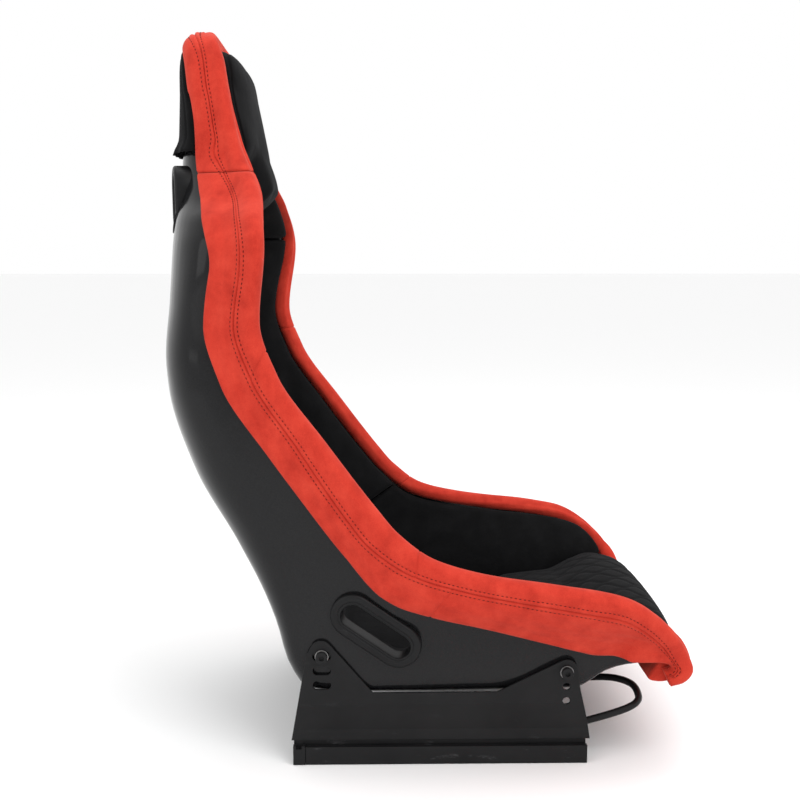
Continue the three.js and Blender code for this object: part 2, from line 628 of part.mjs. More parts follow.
// ---------------------------------------------------------------- fasteners
const BOLT = { radius: 4, bore: 4.5, headRadius: 7.5, headHeight: 5.5, socket: 3.4, socketDepth: 3 };
const WASHER = { radius: 8.5, height: 1.6 };
const NUT = { radius: 8, from: 197.2, to: 203.5 };   // inside the shell's wall
for (const [name, side] of SIDES) {
  for (const [where, [x, z]] of [['rear', REAR_BOLT], ['front', FRONT_BOLT]]) {
    const washerIn = PLATE_Y + GAP;
    const headIn = washerIn + WASHER.height + GAP;
    const headOut = headIn + BOLT.headHeight;
    const bore = rodAcross(x, z, BOLT.bore, side * 190, side * 230);
    const washer = rodAcross(x, z, WASHER.radius, side * washerIn, side * (washerIn + WASHER.height), 16);
    addPart(`${where}_washer_${name}`, cut(washer, bore), zincSteel);
    const head = rodAcross(x, z, BOLT.headRadius, side * headIn, side * headOut, 16);
    const socket = rodAcross(x, z, BOLT.socket, side * (headOut - BOLT.socketDepth), side * (headOut + 3), 6);
    const shank = rodAcross(x, z, BOLT.radius, side * (NUT.from - 2), side * (headIn + 1));
    addPart(`${where}_shell_bolt_${name}`, cut(join(head, shank), socket), blackSteel);
    const nut = rodAcross(x, z, NUT.radius, side * NUT.from, side * NUT.to, 6);
    addPart(`${where}_nut_${name}`, cut(nut, bore), zincSteel);
  }
}

// ---------------------------------------------------------------- slide rails
const mirror = (half) => [...half, ...half.map(([y, z]) => [-y, z]).reverse()];
const lowerHalf = [
  [18, 0], [18, 22.7], [10.5, 22.7], [10.5, 17], [12.4, 17], [12.4, 20.4], [15.7, 20.4], [15.7, 2.3],
];
const lowerOutline = mirror(lowerHalf);
const upperHalf = [
  [9.3, UPPER_TOP], [9.3, 7.3], [12.6, 7.3], [12.6, 14.5], [14.8, 14.5], [14.8, 5], [7, 5], [7, 26.1],
];
const upperOutline = mirror(upperHalf);

function rail(outline, side, from, to) {
  return extrudeOutline(outline.map(([y, z]) => [y + side * RAIL_Y, z]), from, to, 'x');
}

// Toothed strip on the floor of the lower rail.
const RACK = { from: 68, to: 238, pitch: 17, base: 2.7, root: 5, tip: 8, halfWidth: 4 };
function lockRack(y) {
  const outline = [[RACK.to, RACK.base], [RACK.from, RACK.base]];
  for (let x = RACK.from; x < RACK.to; x += RACK.pitch) {
    outline.push([x, RACK.tip], [x + 9, RACK.tip], [x + 9.5, RACK.root], [x + 16.5, RACK.root]);
  }
  outline.push([RACK.to, RACK.tip]);
  return extrudeOutline(outline, y - RACK.halfWidth, y + RACK.halfWidth, 'y');
}

for (const [name, side] of SIDES) {
  const y = side * RAIL_Y;
  const floorHoles = FLOOR_HOLES_X.map((x) => uprightRod(x, y, 4.5, -3, 5));
  const lower = rail(lowerOutline, side, RAIL_BACK, RAIL_FRONT);
  addPart(`lower_rail_${name}`, cut(lower, ...floorHoles), blackSteel);
  const capOutline = lowerOutline.map(([a, z]) => [a * 1.03, z > 15 ? z + 1.6 : z]);
  const notch = block(RAIL_BACK - 12, RAIL_BACK - 5, y - 30, y + 30, 20, 40);
  const cap = rail(capOutline, side, RAIL_BACK - CAP_LENGTH, RAIL_BACK - GAP);
  addPart(`rail_cap_${name}`, cut(cap, notch), nylon);
  const topHoles = RAIL_BOLTS_X.map((x) => uprightRod(x, y, 4.5, 20, 35));
  const upper = rail(upperOutline, side, UPPER_BACK, RAIL_FRONT - 1);
  addPart(`upper_rail_${name}`, cut(upper, toothSlot(side), ...topHoles), blackSteel);
  const cage = block(-40, 190, y - 13, y + 13, 2.8, 4.5);
  addPart(`ball_cage_${name}`, cut(cage, block(10, 200, y - 5, y + 5, 0, 10)), nylon);
  addPart(`lock_rack_${name}`, lockRack(y), zincSteel);
  for (const [where, x] of [['rear', RAIL_BOLTS_X[0]], ['front', RAIL_BOLTS_X[1]]]) {
    const shank = uprightRod(x, y, 4, 21, 39);
    const head = uprightRod(x, y, 6.6, 21, 25.7);
    addPart(`${where}_rail_bolt_${name}`, join(shank, head), zincSteel);
    const nutBase = FOOT_BASE + SHEET + GAP;
    const nut = uprightRod(x, y, 7.5, nutBase, nutBase + 6, 6);
    addPart(`${where}_rail_nut_${name}`, cut(nut, uprightRod(x, y, 4.4, 20, 50)), zincSteel);
  }
}

// ---------------------------------------------------------------- release bar and locks
const LEVER_IN = 186.5;          // inner face of the lever plate
const LEVER_SHEET = 3;
const BAR_START = [232, 40.3];
const leverOutline = [
  ...arcPoints(PIVOT[0], PIVOT[1], 9, 100, 260, 6), [TOOTH_X - 8, 33.5], [240, 34.5], [246, 39], [240, 45],
  [TOOTH_X, 46],
];

for (const [name, side] of SIDES) {
  const [leverFrom, leverTo] = [side * LEVER_IN, side * (LEVER_IN + LEVER_SHEET)];
  const plate = extrudeOutline(leverOutline, leverFrom, leverTo, 'y');
  const arm = block(TOOTH_X - 5, TOOTH_X + 5, side * (LEVER_IN + 1), side * (RAIL_Y + 3), 33.5, 38);
  const tooth = block(TOOTH_X - 3, TOOTH_X + 3, side * (RAIL_Y - 3), side * (RAIL_Y + 3), RACK.tip + 0.6, 35);
  const eye = rodAcross(PIVOT[0], PIVOT[1], 3.4, side * 180, side * 200);
  addPart(`lock_lever_${name}`, cut(join(plate, arm, tooth), eye), zincSteel);

  const pin = rodAcross(PIVOT[0], PIVOT[1], 3, side * 178, side * 192);
  const pinHead = rodAcross(PIVOT[0], PIVOT[1], 5, side * 176, side * 179.6);
  addPart(`lever_pin_${name}`, join(pin, pinHead), zincSteel);
}

// Torsion springs sit on the pins, between the lug and the lever.
class Helix extends THREE.Curve {
  constructor(side) {
    super();
    this.side = side;
  }

  getPoint(t) {
    const turn = 2 * Math.PI * 1.2 * t;
    const y = this.side * (184.3 + 1.3 * t);
    return new THREE.Vector3(PIVOT[0] + 5.2 * Math.cos(turn), y, PIVOT[1] + 5.2 * Math.sin(turn));
  }
}

function tube(path, radius, count, sides) {
  const circle = new THREE.Shape();
  circle.absarc(0, 0, radius, 0, 2 * Math.PI, false);
  return new THREE.ExtrudeGeometry(circle, { steps: count, extrudePath: path, curveSegments: sides });
}

for (const [name, side] of SIDES) {
  addPart(`lever_spring_${name}`, tube(new Helix(side), 0.5, 18, 3), springSteel);
}

// The bar leaves each lever, rises to a corner, crosses in front of the seat and dips in the middle.
const BAR_HALF = [
  [BAR_START[0], BAR_Y, BAR_START[1]], [262, BAR_Y, 47.2], [312, BAR_Y - 2, 62], [327, BAR_Y - 10, 67],
  [331, BAR_Y - 25, 69], [331, 145, 72], [325, 124, 71], [310, 105, 69], [292, 92, 65], [272, 78, 59],
  [256, 60, 55], [251, 38, 54],
];
const barPoints = [...BAR_HALF.map(([x, y, z]) => [x, -y, z]), ...[...BAR_HALF].reverse()];
const barCorners = barPoints.map((p) => new THREE.Vector3(...p));
const barCurve = new THREE.CatmullRomCurve3(barCorners, false, 'centripetal');
addPart('release_bar', tube(barCurve, BAR_RADIUS, 48, 4), blackSteel);

export default seat;
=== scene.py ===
"""Looks of the fixed-back racing seat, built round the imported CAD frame.

Shapes are worked out in millimetres on the CAD drawing datum (+X to the knees, +Y to the sitter's left,
+Z up) and are moved into the frame, in metres, when a mesh is made. The bucket is a row of cross-sections at
stations, as in the CAD: station 0 is the top of the head, and the numbers rise to 35 at the tip of the seat.
"""

import math

import bmesh
import bpy
import numpy as np
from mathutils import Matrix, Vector
from mathutils.bvhtree import BVHTree


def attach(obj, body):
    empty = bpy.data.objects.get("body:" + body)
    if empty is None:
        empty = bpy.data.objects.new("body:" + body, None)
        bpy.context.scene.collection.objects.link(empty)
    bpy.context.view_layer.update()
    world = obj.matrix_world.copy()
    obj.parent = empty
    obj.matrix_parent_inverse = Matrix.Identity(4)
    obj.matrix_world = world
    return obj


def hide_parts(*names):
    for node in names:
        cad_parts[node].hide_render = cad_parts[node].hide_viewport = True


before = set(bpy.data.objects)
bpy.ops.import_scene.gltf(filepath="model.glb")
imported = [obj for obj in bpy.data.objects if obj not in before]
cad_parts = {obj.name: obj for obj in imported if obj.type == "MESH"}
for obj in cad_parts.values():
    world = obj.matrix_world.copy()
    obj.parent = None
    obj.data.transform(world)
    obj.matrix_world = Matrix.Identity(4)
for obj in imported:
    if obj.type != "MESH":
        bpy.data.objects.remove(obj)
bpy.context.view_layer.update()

# -------------------- camera
CAMERA_PLACE = (-0.055, -1.600, 0.63695)
CAMERA_AIM = (0.0169, 0.99166, -0.12778)
camera_data = bpy.data.cameras.new("camera")
camera_data.lens = 52.39
camera_data.sensor_width = 36
camera = bpy.data.objects.new("camera", camera_data)
camera.location = CAMERA_PLACE
camera.rotation_mode = "QUATERNION"
camera.rotation_quaternion = Vector(CAMERA_AIM).to_track_quat("-Z", "Y")
bpy.context.scene.collection.objects.link(camera)
bpy.context.scene.camera = camera

# -------------------- driving dimensions, as in the CAD
DATUM_X = 55  # the drawing datum lies this far behind the middle of the footprint
SHELL = 4
RIM_DROP = 14
TRIM_OUT = 12
TRIM_IN = 12
TRIM_LIP = 26
LINING = 18
PAD_START = TRIM_LIP + 1.5
PAD_LIFT = 3
HEAD_SIDE = 4
SHELL_END = 32
LOIN = 21
HEAD_JOINT = 7
TIP = 35
CUSHION_SIDE = 26
PANEL_EDGE = 0.5
SIDES = (("right", -1), ("left", 1))

LAP_SLOT = {"station": 22.84, "drop": 130, "straight": 65.6, "inner": 15.4, "outer": 29, "slope": -33.7}
SHOULDER_SLOT = {"station": 8, "drop": 159, "straight": 27, "inner": 16.5, "outer": 29, "slope": 90}

SEAM_ROW = 5.6  # from the seam to each row of stitches
STITCH_PITCH = 5.4
SEAM_CLEAR = 11  # least distance from the seam to the trim's outer edge
SEAM_PRESS = 2.2  # depth of the seams in the black covers


# -------------------- curves
def smooth(t):
    t = np.clip(t, 0, 1)
    return t * t * (3 - 2 * t)


def ridge(x, at, width):
    """1 on a line, falling to nothing a little way off."""
    return np.exp(-((x - at) / width) ** 2)


def run_along(points):
    """Distance from the first point to each, along the row of points."""
    steps = np.linalg.norm(np.diff(points, axis=0), axis=1)
    return np.concatenate([[0], np.cumsum(steps)])


def catmull(a, b, c, d, f):
    """Smooth curve from b to c, with a before and d after; f runs from 0 to 1."""
    slope_b = (c - a) / 2
    slope_c = (d - b) / 2
    return (b * (2 * f**3 - 3 * f**2 + 1) + slope_b * (f**3 - 2 * f**2 + f)
            + c * (3 * f**2 - 2 * f**3) + slope_c * (f**3 - f**2))


def bezier(p, t):
    s = 1 - t
    weights = np.stack([s**3, 3 * s * s * t, 3 * s * t * t, t**3], 1)
    return weights @ p


class Measure:
    """A value along the stations: a curve through its points that never runs past them.

    It mirrors at station 0.
    """

    def __init__(self, points, column=1, mirror=1):
        rows = [(row[0], row[column]) for row in points]
        self.at, self.value = np.array([(-rows[1][0], mirror * rows[1][1]), *rows], float).T
        rise = np.diff(self.value) / np.diff(self.at)
        even = rise[:-1] * rise[1:] > 0
        mean = 2 * rise[:-1] * rise[1:] / np.where(even, rise[:-1] + rise[1:], 1)
        self.slope = np.concatenate([[0], np.where(even, mean, 0), rise[-1:]])

    def __call__(self, u):
        k = int(np.clip(np.searchsorted(self.at, u, "right") - 1, 1, len(self.at) - 2))
        length = self.at[k + 1] - self.at[k]
        f = (u - self.at[k]) / length
        level = self.value[k] * (1 + 2 * f) * (1 - f) ** 2 + self.value[k + 1] * f * f * (3 - 2 * f)
        return level + length * f * (1 - f) * (self.slope[k] * (1 - f) - self.slope[k + 1] * f)


# -------------------- cross-sections of the bucket
# station, x, z
FLOOR = [
    (0, -250, 832), (4, -250, 832), (6, -255, 762), (8, -260, 700), (12, -267, 576), (14, -273, 507),
    (15, -269, 462), (17, -236, 362), (19, -180, 267), (21, -133, 172), (22, -117, 122), (23, -90, 90),
    (24, -40, 87), (28, 240, 89), (29, 278, 110), (30, 306, 124), (32, 342, 130), (35, 345, 130),
]
CREST = [
    (0, -214, 914), (2, -203, 898), (3, -192, 871), (4, -186, 832), (6, -171, 764), (8, -142, 701),
    (10, -133, 643), (13, -142, 552), (15, -121, 488), (17, -66, 410), (19, -4, 328), (20, 21, 299),
    (22, 66, 267), (24, 122, 252), (28, 284, 227), (30, 341, 193), (32, 375, 148), (33, 383, 126),
    (34, 373, 110), (35, 357, 104),
]
floor_x, floor_z = Measure(FLOOR, 1), Measure(FLOOR, 2)
crest_x, crest_z = Measure(CREST, 1), Measure(CREST, 2)
crest_half_width = Measure([
    (0, 0), (1, 55), (2, 98), (3, 121), (4, 129), (6, 138), (8, 195), (9, 240), (10, 256), (14, 228),
    (22, 241), (28, 258), (32, 236), (35, 229),
], mirror=-1)
flat_share = Measure([
    (0, 0.55), (4, 0.5), (8, 0.28), (9, 0.28), (14, 0.44), (19, 0.64), (22, 0.82), (24, 0.88), (35, 0.92),
])
wall_inset = Measure([
    (0, 6), (4, 10), (9, 28), (12, 18), (15, 14), (19, 20), (20, 28), (22, 31), (24, 36), (28, 50), (29, 46),
    (30, 28), (32, 12), (35, 8),
])
corner_height = Measure([
    (0, 20), (4, 34), (9, 74), (13, 66), (17, 72), (19, 58), (22, 28), (24, 24), (29, 22), (32, 12), (35, 10),
])
trim_flap = Measure([
    (0, 38), (3, 52), (5, 55), (8, 83), (9, 81), (11, 69), (16, 72), (20, 74), (22, 80), (25, 84), (28, 101),
    (29, 93), (30, 74), (32, 34), (35, 22),
])
# how far the trim's middle seam lies from the crest, down the outside
seam_at = Measure([
    (0, 25), (4, 27), (5.6, 32), (6.4, 43), (7.2, 41), (8.4, 30), (11, 22), (13.5, 27), (16, 28), (19.4, 35),
    (22.5, 27), (27, 25), (29, 20), (35, 16),
])


WALL_STEPS = 16
BEND_STEPS = 12
FLOOR_STEPS = 6


def half_profile(width, depth, flat, inset, corner):
    """Half section from the crest down the wall, round the corner and in to the middle line."""
    foot = width - inset
    edge = flat * foot
    rise = depth - corner
    wall = [(width, depth), (width, depth - 0.35 * rise), (foot, corner + 0.65 * rise), (foot, corner)]
    bend = [(foot, corner), (foot, 0.4 * corner), (edge + 0.6 * (foot - edge), 0), (edge, 0)]
    in_y = np.linspace(edge, 0, FLOOR_STEPS + 1)
    floor = np.stack([in_y, np.zeros_like(in_y)], 1)
    return np.concatenate([
        bezier(np.array(wall, float), np.arange(WALL_STEPS) / WALL_STEPS),
        bezier(np.array(bend, float), np.arange(BEND_STEPS) / BEND_STEPS),
        floor,
    ])


class Section:
    """One cross-section of the bucket, in its own plane."""

    def __init__(self, u):
        fx, fz, cx, cz = floor_x(u), floor_z(u), crest_x(u), crest_z(u)
        cy = crest_half_width(u)
        across, up = (1, 0) if u < HEAD_SIDE else (cx - fx, cz - fz)
        length = math.hypot(across, up)
        self.fx, self.fz = fx, fz
        self.forward = (across / length, up / length)
        self.depth = (cx - fx) * self.forward[0] + (cz - fz) * self.forward[1]
        raise_ = (cz - fz) * self.forward[0] - (cx - fx) * self.forward[1]
        self.width = math.hypot(raise_, cy)
        self.raise_ = raise_ / self.width
        self.across = cy / self.width
        self.profile = half_profile(self.width, self.depth, flat_share(u), wall_inset(u), corner_height(u))
        self.run = run_along(self.profile)
        self.half = self.run[-1]
        self.foot = self.profile[WALL_STEPS][0]
        self.flap = trim_flap(u)
        before = self.profile[np.maximum(np.arange(len(self.profile)) - 1, 0)]
        after = self.profile[np.minimum(np.arange(len(self.profile)) + 1, len(self.profile) - 1)]
        turn = after - before
        self.normals = np.stack([turn[:, 1], -turn[:, 0]], 1) / np.hypot(*turn.T)[:, None]

    def flat_points(self, along, offset):
        """Points in the section's plane: run along the profile from the crest, offset towards the sitter."""
        a = np.clip(along, 0, self.half)
        y = np.interp(a, self.run, self.profile[:, 0])
        q = np.interp(a, self.run, self.profile[:, 1])
        n = np.stack([np.interp(a, self.run, self.normals[:, i]) for i in (0, 1)], -1)
        n /= np.linalg.norm(n, axis=-1, keepdims=True)
        return np.stack([y, q], -1) + n * np.asarray(offset, float)[..., None]

    def place(self, yq, side):
        y, q = yq[..., 0], yq[..., 1]
        lift = y * self.raise_
        return np.stack([
            self.fx + q * self.forward[0] - lift * self.forward[1],
            side * y * self.across,
            self.fz + q * self.forward[1] + lift * self.forward[0],
        ], -1)

    def skin(self, along, offset, side):
        along, offset = np.broadcast_arrays(np.asarray(along, float), np.asarray(offset, float))
        return self.place(self.flat_points(along, offset), side)

    def run_to_width(self, y):
        """Run from the crest to where the floor or its corner is y wide."""
        i = next(k for k in range(WALL_STEPS + 1, len(self.profile)) if self.profile[k][0] <= y)
        outer, inner = self.profile[i - 1][0], self.profile[i][0]
        share = (outer - y) / (outer - inner)
        return self.run[i - 1] + (self.run[i] - self.run[i - 1]) * share


def even_stations(start, end, spacing):
    """Stations between two places, about `spacing` millimetres apart along the crest."""
    fine = np.linspace(start, end, 400)
    run = run_along(np.array([Section(u).skin(0, 0, 1) for u in fine]))
    count = max(int(round(run[-1] / spacing)), 4)
    return np.interp(np.linspace(0, run[-1], count + 1), run, fine)


def over_head(end, spacing):
    """(station, side) met on the way from one side, over the head, to the other."""
    half = even_stations(0, end, spacing)
    return [(u, -1) for u in half[::-1]] + [(u, 1) for u in half[1:]]


# -------------------- meshes
def in_frame(points):
    return (np.asarray(points, float) - (DATUM_X, 0, 0)) * 0.001


def on_datum(point):
    return np.array(point) * 1000 + (DATUM_X, 0, 0)


def linked(name, data):
    """A new object in the scene."""
    obj = bpy.data.objects.new(name, data)
    bpy.context.scene.collection.objects.link(obj)
    return obj


def welded(points, faces):
    """Points merged where they meet, the faces that didn't collapse, and which point each one kept was."""
    points = np.asarray(points, float)
    _, first, index = np.unique(np.round(points, 3), axis=0, return_index=True, return_inverse=True)
    index = index.reshape(-1)
    kept = []
    for face in faces:
        ring = []
        for i in face:
            if not ring or ring[-1] != index[i]:
                ring.append(int(index[i]))
        if ring[0] == ring[-1]:
            ring.pop()
        if len(ring) > 2:
            kept.append(ring)
    return points[first], kept, first


def shade_smooth(data):
    data.polygons.foreach_set("use_smooth", [True] * len(data.polygons))


def make_mesh(name, points, faces, material, values=None):
    """A smooth closed mesh. values holds one number per point under each name, kept as attributes."""
    points, faces, kept = welded(points, faces)
    data = bpy.data.meshes.new(name)
    data.from_pydata(in_frame(points).tolist(), [], faces)
    for key, numbers in (values or {}).items():
        attribute = data.attributes.new(key, "FLOAT", "POINT")
        attribute.data.foreach_set("value", np.asarray(numbers, np.float32).ravel()[kept])
    work = bmesh.new()
    work.from_mesh(data)
    bmesh.ops.recalc_face_normals(work, faces=work.faces)
    work.to_mesh(data)
    work.free()
    shade_smooth(data)
    data.materials.append(material)
    return linked(name, data)


def ring_body(rings, closed_ring=True, caps=True):
    """Points and faces of rings joined in a row, closed by a fan at both ends."""
    rings = np.asarray(rings, float)
    count, size = rings.shape[:2]
    points = rings.reshape(-1, 3).tolist()
    faces = []
    for r in range(count - 1):
        for j in range(size if closed_ring else size - 1):
            a, b = r * size + j, r * size + (j + 1) % size
            faces.append((a, b, b + size, a + size))
    if caps:
        for r in (0, count - 1):
            points.append(rings[r].mean(0).tolist())
            for j in range(size):
                faces.append((r * size + j, r * size + (j + 1) % size, len(points) - 1))
    return points, faces


def layer_body(top, bottom, last_column=True):
    """Points and faces of two layers of the same grid, joined round the edge. Both are rows x columns x 3."""
    rows, columns = top.shape[:2]
    points = np.concatenate([top.reshape(-1, 3), bottom.reshape(-1, 3)])
    below = rows * columns
    faces = []
    for i in range(rows - 1):
        for j in range(columns - 1):
            a = i * columns + j
            faces.append((a, a + 1, a + columns + 1, a + columns))
            faces.append((below + a, below + a + columns, below + a + columns + 1, below + a + 1))
    for j in range(columns - 1):
        for a in (j, (rows - 1) * columns + j):
            faces.append((a, a + 1, below + a + 1, below + a))
    for i in range(rows - 1):
        for a in (i * columns, *([(i + 1) * columns - 1] if last_column else [])):
            faces.append((a, a + columns, below + a + columns, below + a))
    return points, faces


def finished(obj, body, nodes=()):
    """Hangs a piece on its body and hides the CAD parts that it takes the place of."""
    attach(obj, body)
    if nodes:
        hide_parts(*nodes)
    return obj


def apply_modifiers(obj):
    """Replaces an object's mesh by what its modifiers make of it."""
    graph = bpy.context.evaluated_depsgraph_get()
    made = bpy.data.meshes.new_from_object(obj.evaluated_get(graph), depsgraph=graph)
    obj.modifiers.clear()
    obj.data = made
    return obj


def subtract(obj, tools):
    """Cuts the tools out of an object, and then removes them."""
    for tool in tools:
        step = obj.modifiers.new("cut", "BOOLEAN")
        step.operation = "DIFFERENCE"
        step.solver = "EXACT"
        step.object = tool
    bpy.context.view_layer.update()
    apply_modifiers(obj)
    for tool in tools:
        bpy.data.objects.remove(tool)


# -------------------- materials
class Nodes:
    """Short names for building one material's node tree."""

    def __init__(self, name):
        self.material = bpy.data.materials.new(name)
        self.material.use_nodes = True
        self.tree = self.material.node_tree
        self.shader = self.tree.nodes["Principled BSDF"]
        self.place = self.add("ShaderNodeTexCoord").outputs["Object"]

    def add(self, kind, **settings):
        node = self.tree.nodes.new(kind)
        for key, value in settings.items():
            setattr(node, key, value)
        return node

    def link(self, source, target):
        self.tree.links.new(source, target)

    def stretched(self, scale):
        node = self.add("ShaderNodeMapping")
        node.inputs["Scale"].default_value = scale
        self.link(self.place, node.inputs["Vector"])
        return node.outputs["Vector"]

    def noise(self, scale, detail=3, rough=0.55, at=None):
        node = self.add("ShaderNodeTexNoise")
        node.inputs["Scale"].default_value = scale
        node.inputs["Detail"].default_value = detail
        node.inputs["Roughness"].default_value = rough
        self.link(at or self.place, node.inputs["Vector"])
        return node.outputs["Fac"]

    def ramp(self, value, *stops):
        node = self.add("ShaderNodeValToRGB")
        elements = node.color_ramp.elements
        while len(elements) < len(stops):
            elements.new(0.5)
        for element, (position, color) in zip(elements, stops):
            element.position = position
            element.color = (*color, 1) if len(color) == 3 else color
        self.link(value, node.inputs["Fac"])
        return node.outputs["Color"]

    def mix(self, one, other, share, blend="MIX"):
        node = self.add("ShaderNodeMix", data_type="RGBA", blend_type=blend)
        colours = [socket for socket in node.inputs if socket.type == "RGBA"]
        for socket, value in ((node.inputs[0], share), *zip(colours, (one, other))):
            if isinstance(value, bpy.types.NodeSocket):
                self.link(value, socket)
            else:
                socket.default_value = (*value, 1) if isinstance(value, tuple) else value
        return next(socket for socket in node.outputs if socket.type == "RGBA")

    def scaled(self, value, low, high):
        node = self.add("ShaderNodeMapRange")
        node.inputs["To Min"].default_value = low
        node.inputs["To Max"].default_value = high
        self.link(value, node.inputs["Value"])
        return node.outputs["Result"]

    def bump(self, height, strength, distance, below=None):
        node = self.add("ShaderNodeBump")
        node.inputs["Strength"].default_value = strength
        node.inputs["Distance"].default_value = distance
        self.link(height, node.inputs["Height"])
        if below is not None:
            self.link(below, node.inputs["Normal"])
        return node.outputs["Normal"]

    def set(self, **values):
        for key, value in values.items():
            socket = self.shader.inputs[key.replace("_", " ")]
            if isinstance(value, bpy.types.NodeSocket):
                self.link(value, socket)
            else:
                socket.default_value = (*value, 1) if isinstance(value, tuple) else value
        return self.material


def suede(name, dark, middle, light, sheen, sheen_color):
    """Short-napped microfibre: soft patches where the nap lies another way, and a fine tooth."""
    m = Nodes(name)
    patches = m.noise(38, 4, 0.6)
    streaks = m.noise(60, 3, 0.6, m.stretched((1, 1, 0.35)))
    fibres = m.noise(900, 3, 0.7)
    tint = m.ramp(patches, (0.33, dark), (0.5, middle), (0.7, light))
    tint = m.mix(tint, m.ramp(streaks, (0.35, dark), (0.65, light)), 0.3)
    tint = m.mix(tint, m.ramp(fibres, (0.3, dark), (0.7, light)), 0.34)
    nap = m.bump(fibres, 0.35, 0.0006, m.bump(patches, 0.25, 0.0025))
    return m.set(Base_Color=tint, Roughness=0.94, Sheen_Weight=sheen, Sheen_Roughness=0.45,
                 Sheen_Tint=sheen_color, Specular_IOR_Level=0.1, Normal=nap)


def paint(name, dark, light, rough, grain=0.25, edge=(0.05, 0.05, 0.052)):
    """Powder coat or moulded plastic: an even tone, fine grain, and edges rubbed a little lighter."""
    m = Nodes(name)
    drift = m.noise(14, 4)
    grainy = m.noise(1500, 2)
    scuffs = m.noise(70, 6, 0.75, m.stretched((0.3, 1, 1)))
    tint = m.ramp(drift, (0.35, dark), (0.65, light))
    worn = m.ramp(scuffs, (0.60, (0, 0, 0)), (0.72, (1, 1, 1)))
    bevel = m.add("ShaderNodeNewGeometry").outputs["Pointiness"]
    edges = m.ramp(bevel, (0.515, (0, 0, 0)), (0.56, (1, 1, 1)))
    tint = m.mix(tint, edge, m.mix(edges, worn, 1.0, "MULTIPLY"))
    return m.set(Base_Color=tint, Specular_IOR_Level=0.18,
                 Roughness=m.scaled(scuffs, rough - 0.06, rough + 0.1), Normal=m.bump(grainy, grain, 0.0003))


def metal(name, dark, light, rough):
    """Bare plated steel: a cloudy tone under fine scratches."""
    m = Nodes(name)
    lines = m.noise(400, 4, 0.7)
    cloud = m.noise(40, 4)
    tint = m.mix(m.ramp(cloud, (0.35, dark), (0.65, light)),
                 m.ramp(lines, (0.35, dark), (0.65, light)), 0.4)
    return m.set(Base_Color=tint, Metallic=1.0, Roughness=m.scaled(lines, rough - 0.08, rough + 0.12),
                 Normal=m.bump(lines, 0.2, 0.0002))


def gelcoat():
    """Black gelcoat over glass fibre: a clear gloss with a faint ripple, dust and hairline swirls."""
    m = Nodes("gelcoat")
    ripple = m.noise(9, 2)
    peel = m.noise(160, 2)
    dust = m.noise(700, 5, 0.8)
    tint = m.ramp(dust, (0.4, (0.0055, 0.0055, 0.006)), (0.8, (0.016, 0.016, 0.017)))
    return m.set(Base_Color=tint, Roughness=m.scaled(dust, 0.10, 0.18), Specular_IOR_Level=0.2,
                 Normal=m.bump(peel, 0.02, 0.0004, m.bump(ripple, 0.16, 0.010)))


RED = suede("red_suede", (0.36, 0.020, 0.012), (0.50, 0.034, 0.020), (0.60, 0.055, 0.032),
            sheen=0.18, sheen_color=(1.0, 0.42, 0.34))
BLACK = suede("black_suede", (0.0022, 0.0022, 0.0024), (0.0042, 0.0042, 0.0045), (0.0075, 0.0075, 0.008),
              sheen=0.04, sheen_color=(0.55, 0.55, 0.58))
GELCOAT = gelcoat()
BEZEL = paint("bezel_plastic", (0.0045, 0.0045, 0.005), (0.007, 0.007, 0.0075), 0.40, 0.2)
POWDER = paint("black_steel", (0.0055, 0.0055, 0.006), (0.009, 0.009, 0.0095), 0.42, 0.3)
ZINC = metal("zinc_steel", (0.19, 0.19, 0.2), (0.32, 0.31, 0.30), 0.38)
SPRING = metal("spring_steel", (0.10, 0.10, 0.11), (0.2, 0.2, 0.21), 0.34)
NYLON = paint("nylon", (0.005, 0.005, 0.0055), (0.009, 0.009, 0.0095), 0.5, 0.35)
RED_THREAD = paint("red_thread", (0.060, 0.004, 0.004), (0.10, 0.007, 0.006), 0.8, 0.5,
                   edge=(0.12, 0.01, 0.01))


# -------------------- suede trims
def trim_curve(flap):
    """Smooth outline of a trim from its outer edge over the crest to its inner edge: (run, offset)."""
    inner = SHELL + 0.4
    knots = np.array([
        (flap, 1.5), (flap + 0.2, -0.22 * TRIM_OUT), (flap - 3, -0.62 * TRIM_OUT),
        (flap * 0.66, -0.93 * TRIM_OUT), (flap * 0.36, -1.0 * TRIM_OUT), (12, -0.92 * TRIM_OUT),
        (4.5, -0.62 * TRIM_OUT), (0.4, -0.1 * TRIM_OUT), (0.6, 7), (4.5, inner + 0.66 * TRIM_IN),
        (12, inner + TRIM_IN), (TRIM_LIP - 6, inner + 0.94 * TRIM_IN), (TRIM_LIP - 1, inner + 0.55 * TRIM_IN),
        (TRIM_LIP + 0.3, inner + 0.1 * TRIM_IN), (TRIM_LIP, SHELL / 2),
    ])
    padded_knots = np.concatenate([knots[:1], knots, knots[-1:]])
    f = np.linspace(0, 1, 12, endpoint=False)[:, None]
    parts = [catmull(*padded_knots[i:i + 4][:, None, :], f) for i in range(len(knots) - 1)]
    return np.concatenate([*parts, knots[-1:]])


def at_run(curve, run, wanted):
    return np.stack([np.interp(wanted, run, curve[:, i]) for i in (0, 1)], -1)


def trim_seam(u):
    """A station's section and trim outline, the outline's run, and the seam's drop and run on it."""
    s = Section(u)
    curve = trim_curve(s.flap)
    run = run_along(curve)
    outer = np.argmax(curve[:, 0] < 2)
    drop = min(seam_at(u), s.flap - SEAM_CLEAR)
    return s, curve, run, drop, np.interp(-drop, -curve[4:outer, 0], run[4:outer])


# Distances from the seam at which a trim's outline gets points: close together in the seam's valleys.
NEAR_SEAM = np.array([-9, -7.2, -5.6, -4.2, -2.8, -1.5, -0.6, 0, 0.6, 1.5, 2.8, 4.2, 5.6, 7.2, 9])
OUTER_COLUMNS = 24
INNER_COLUMNS = 56


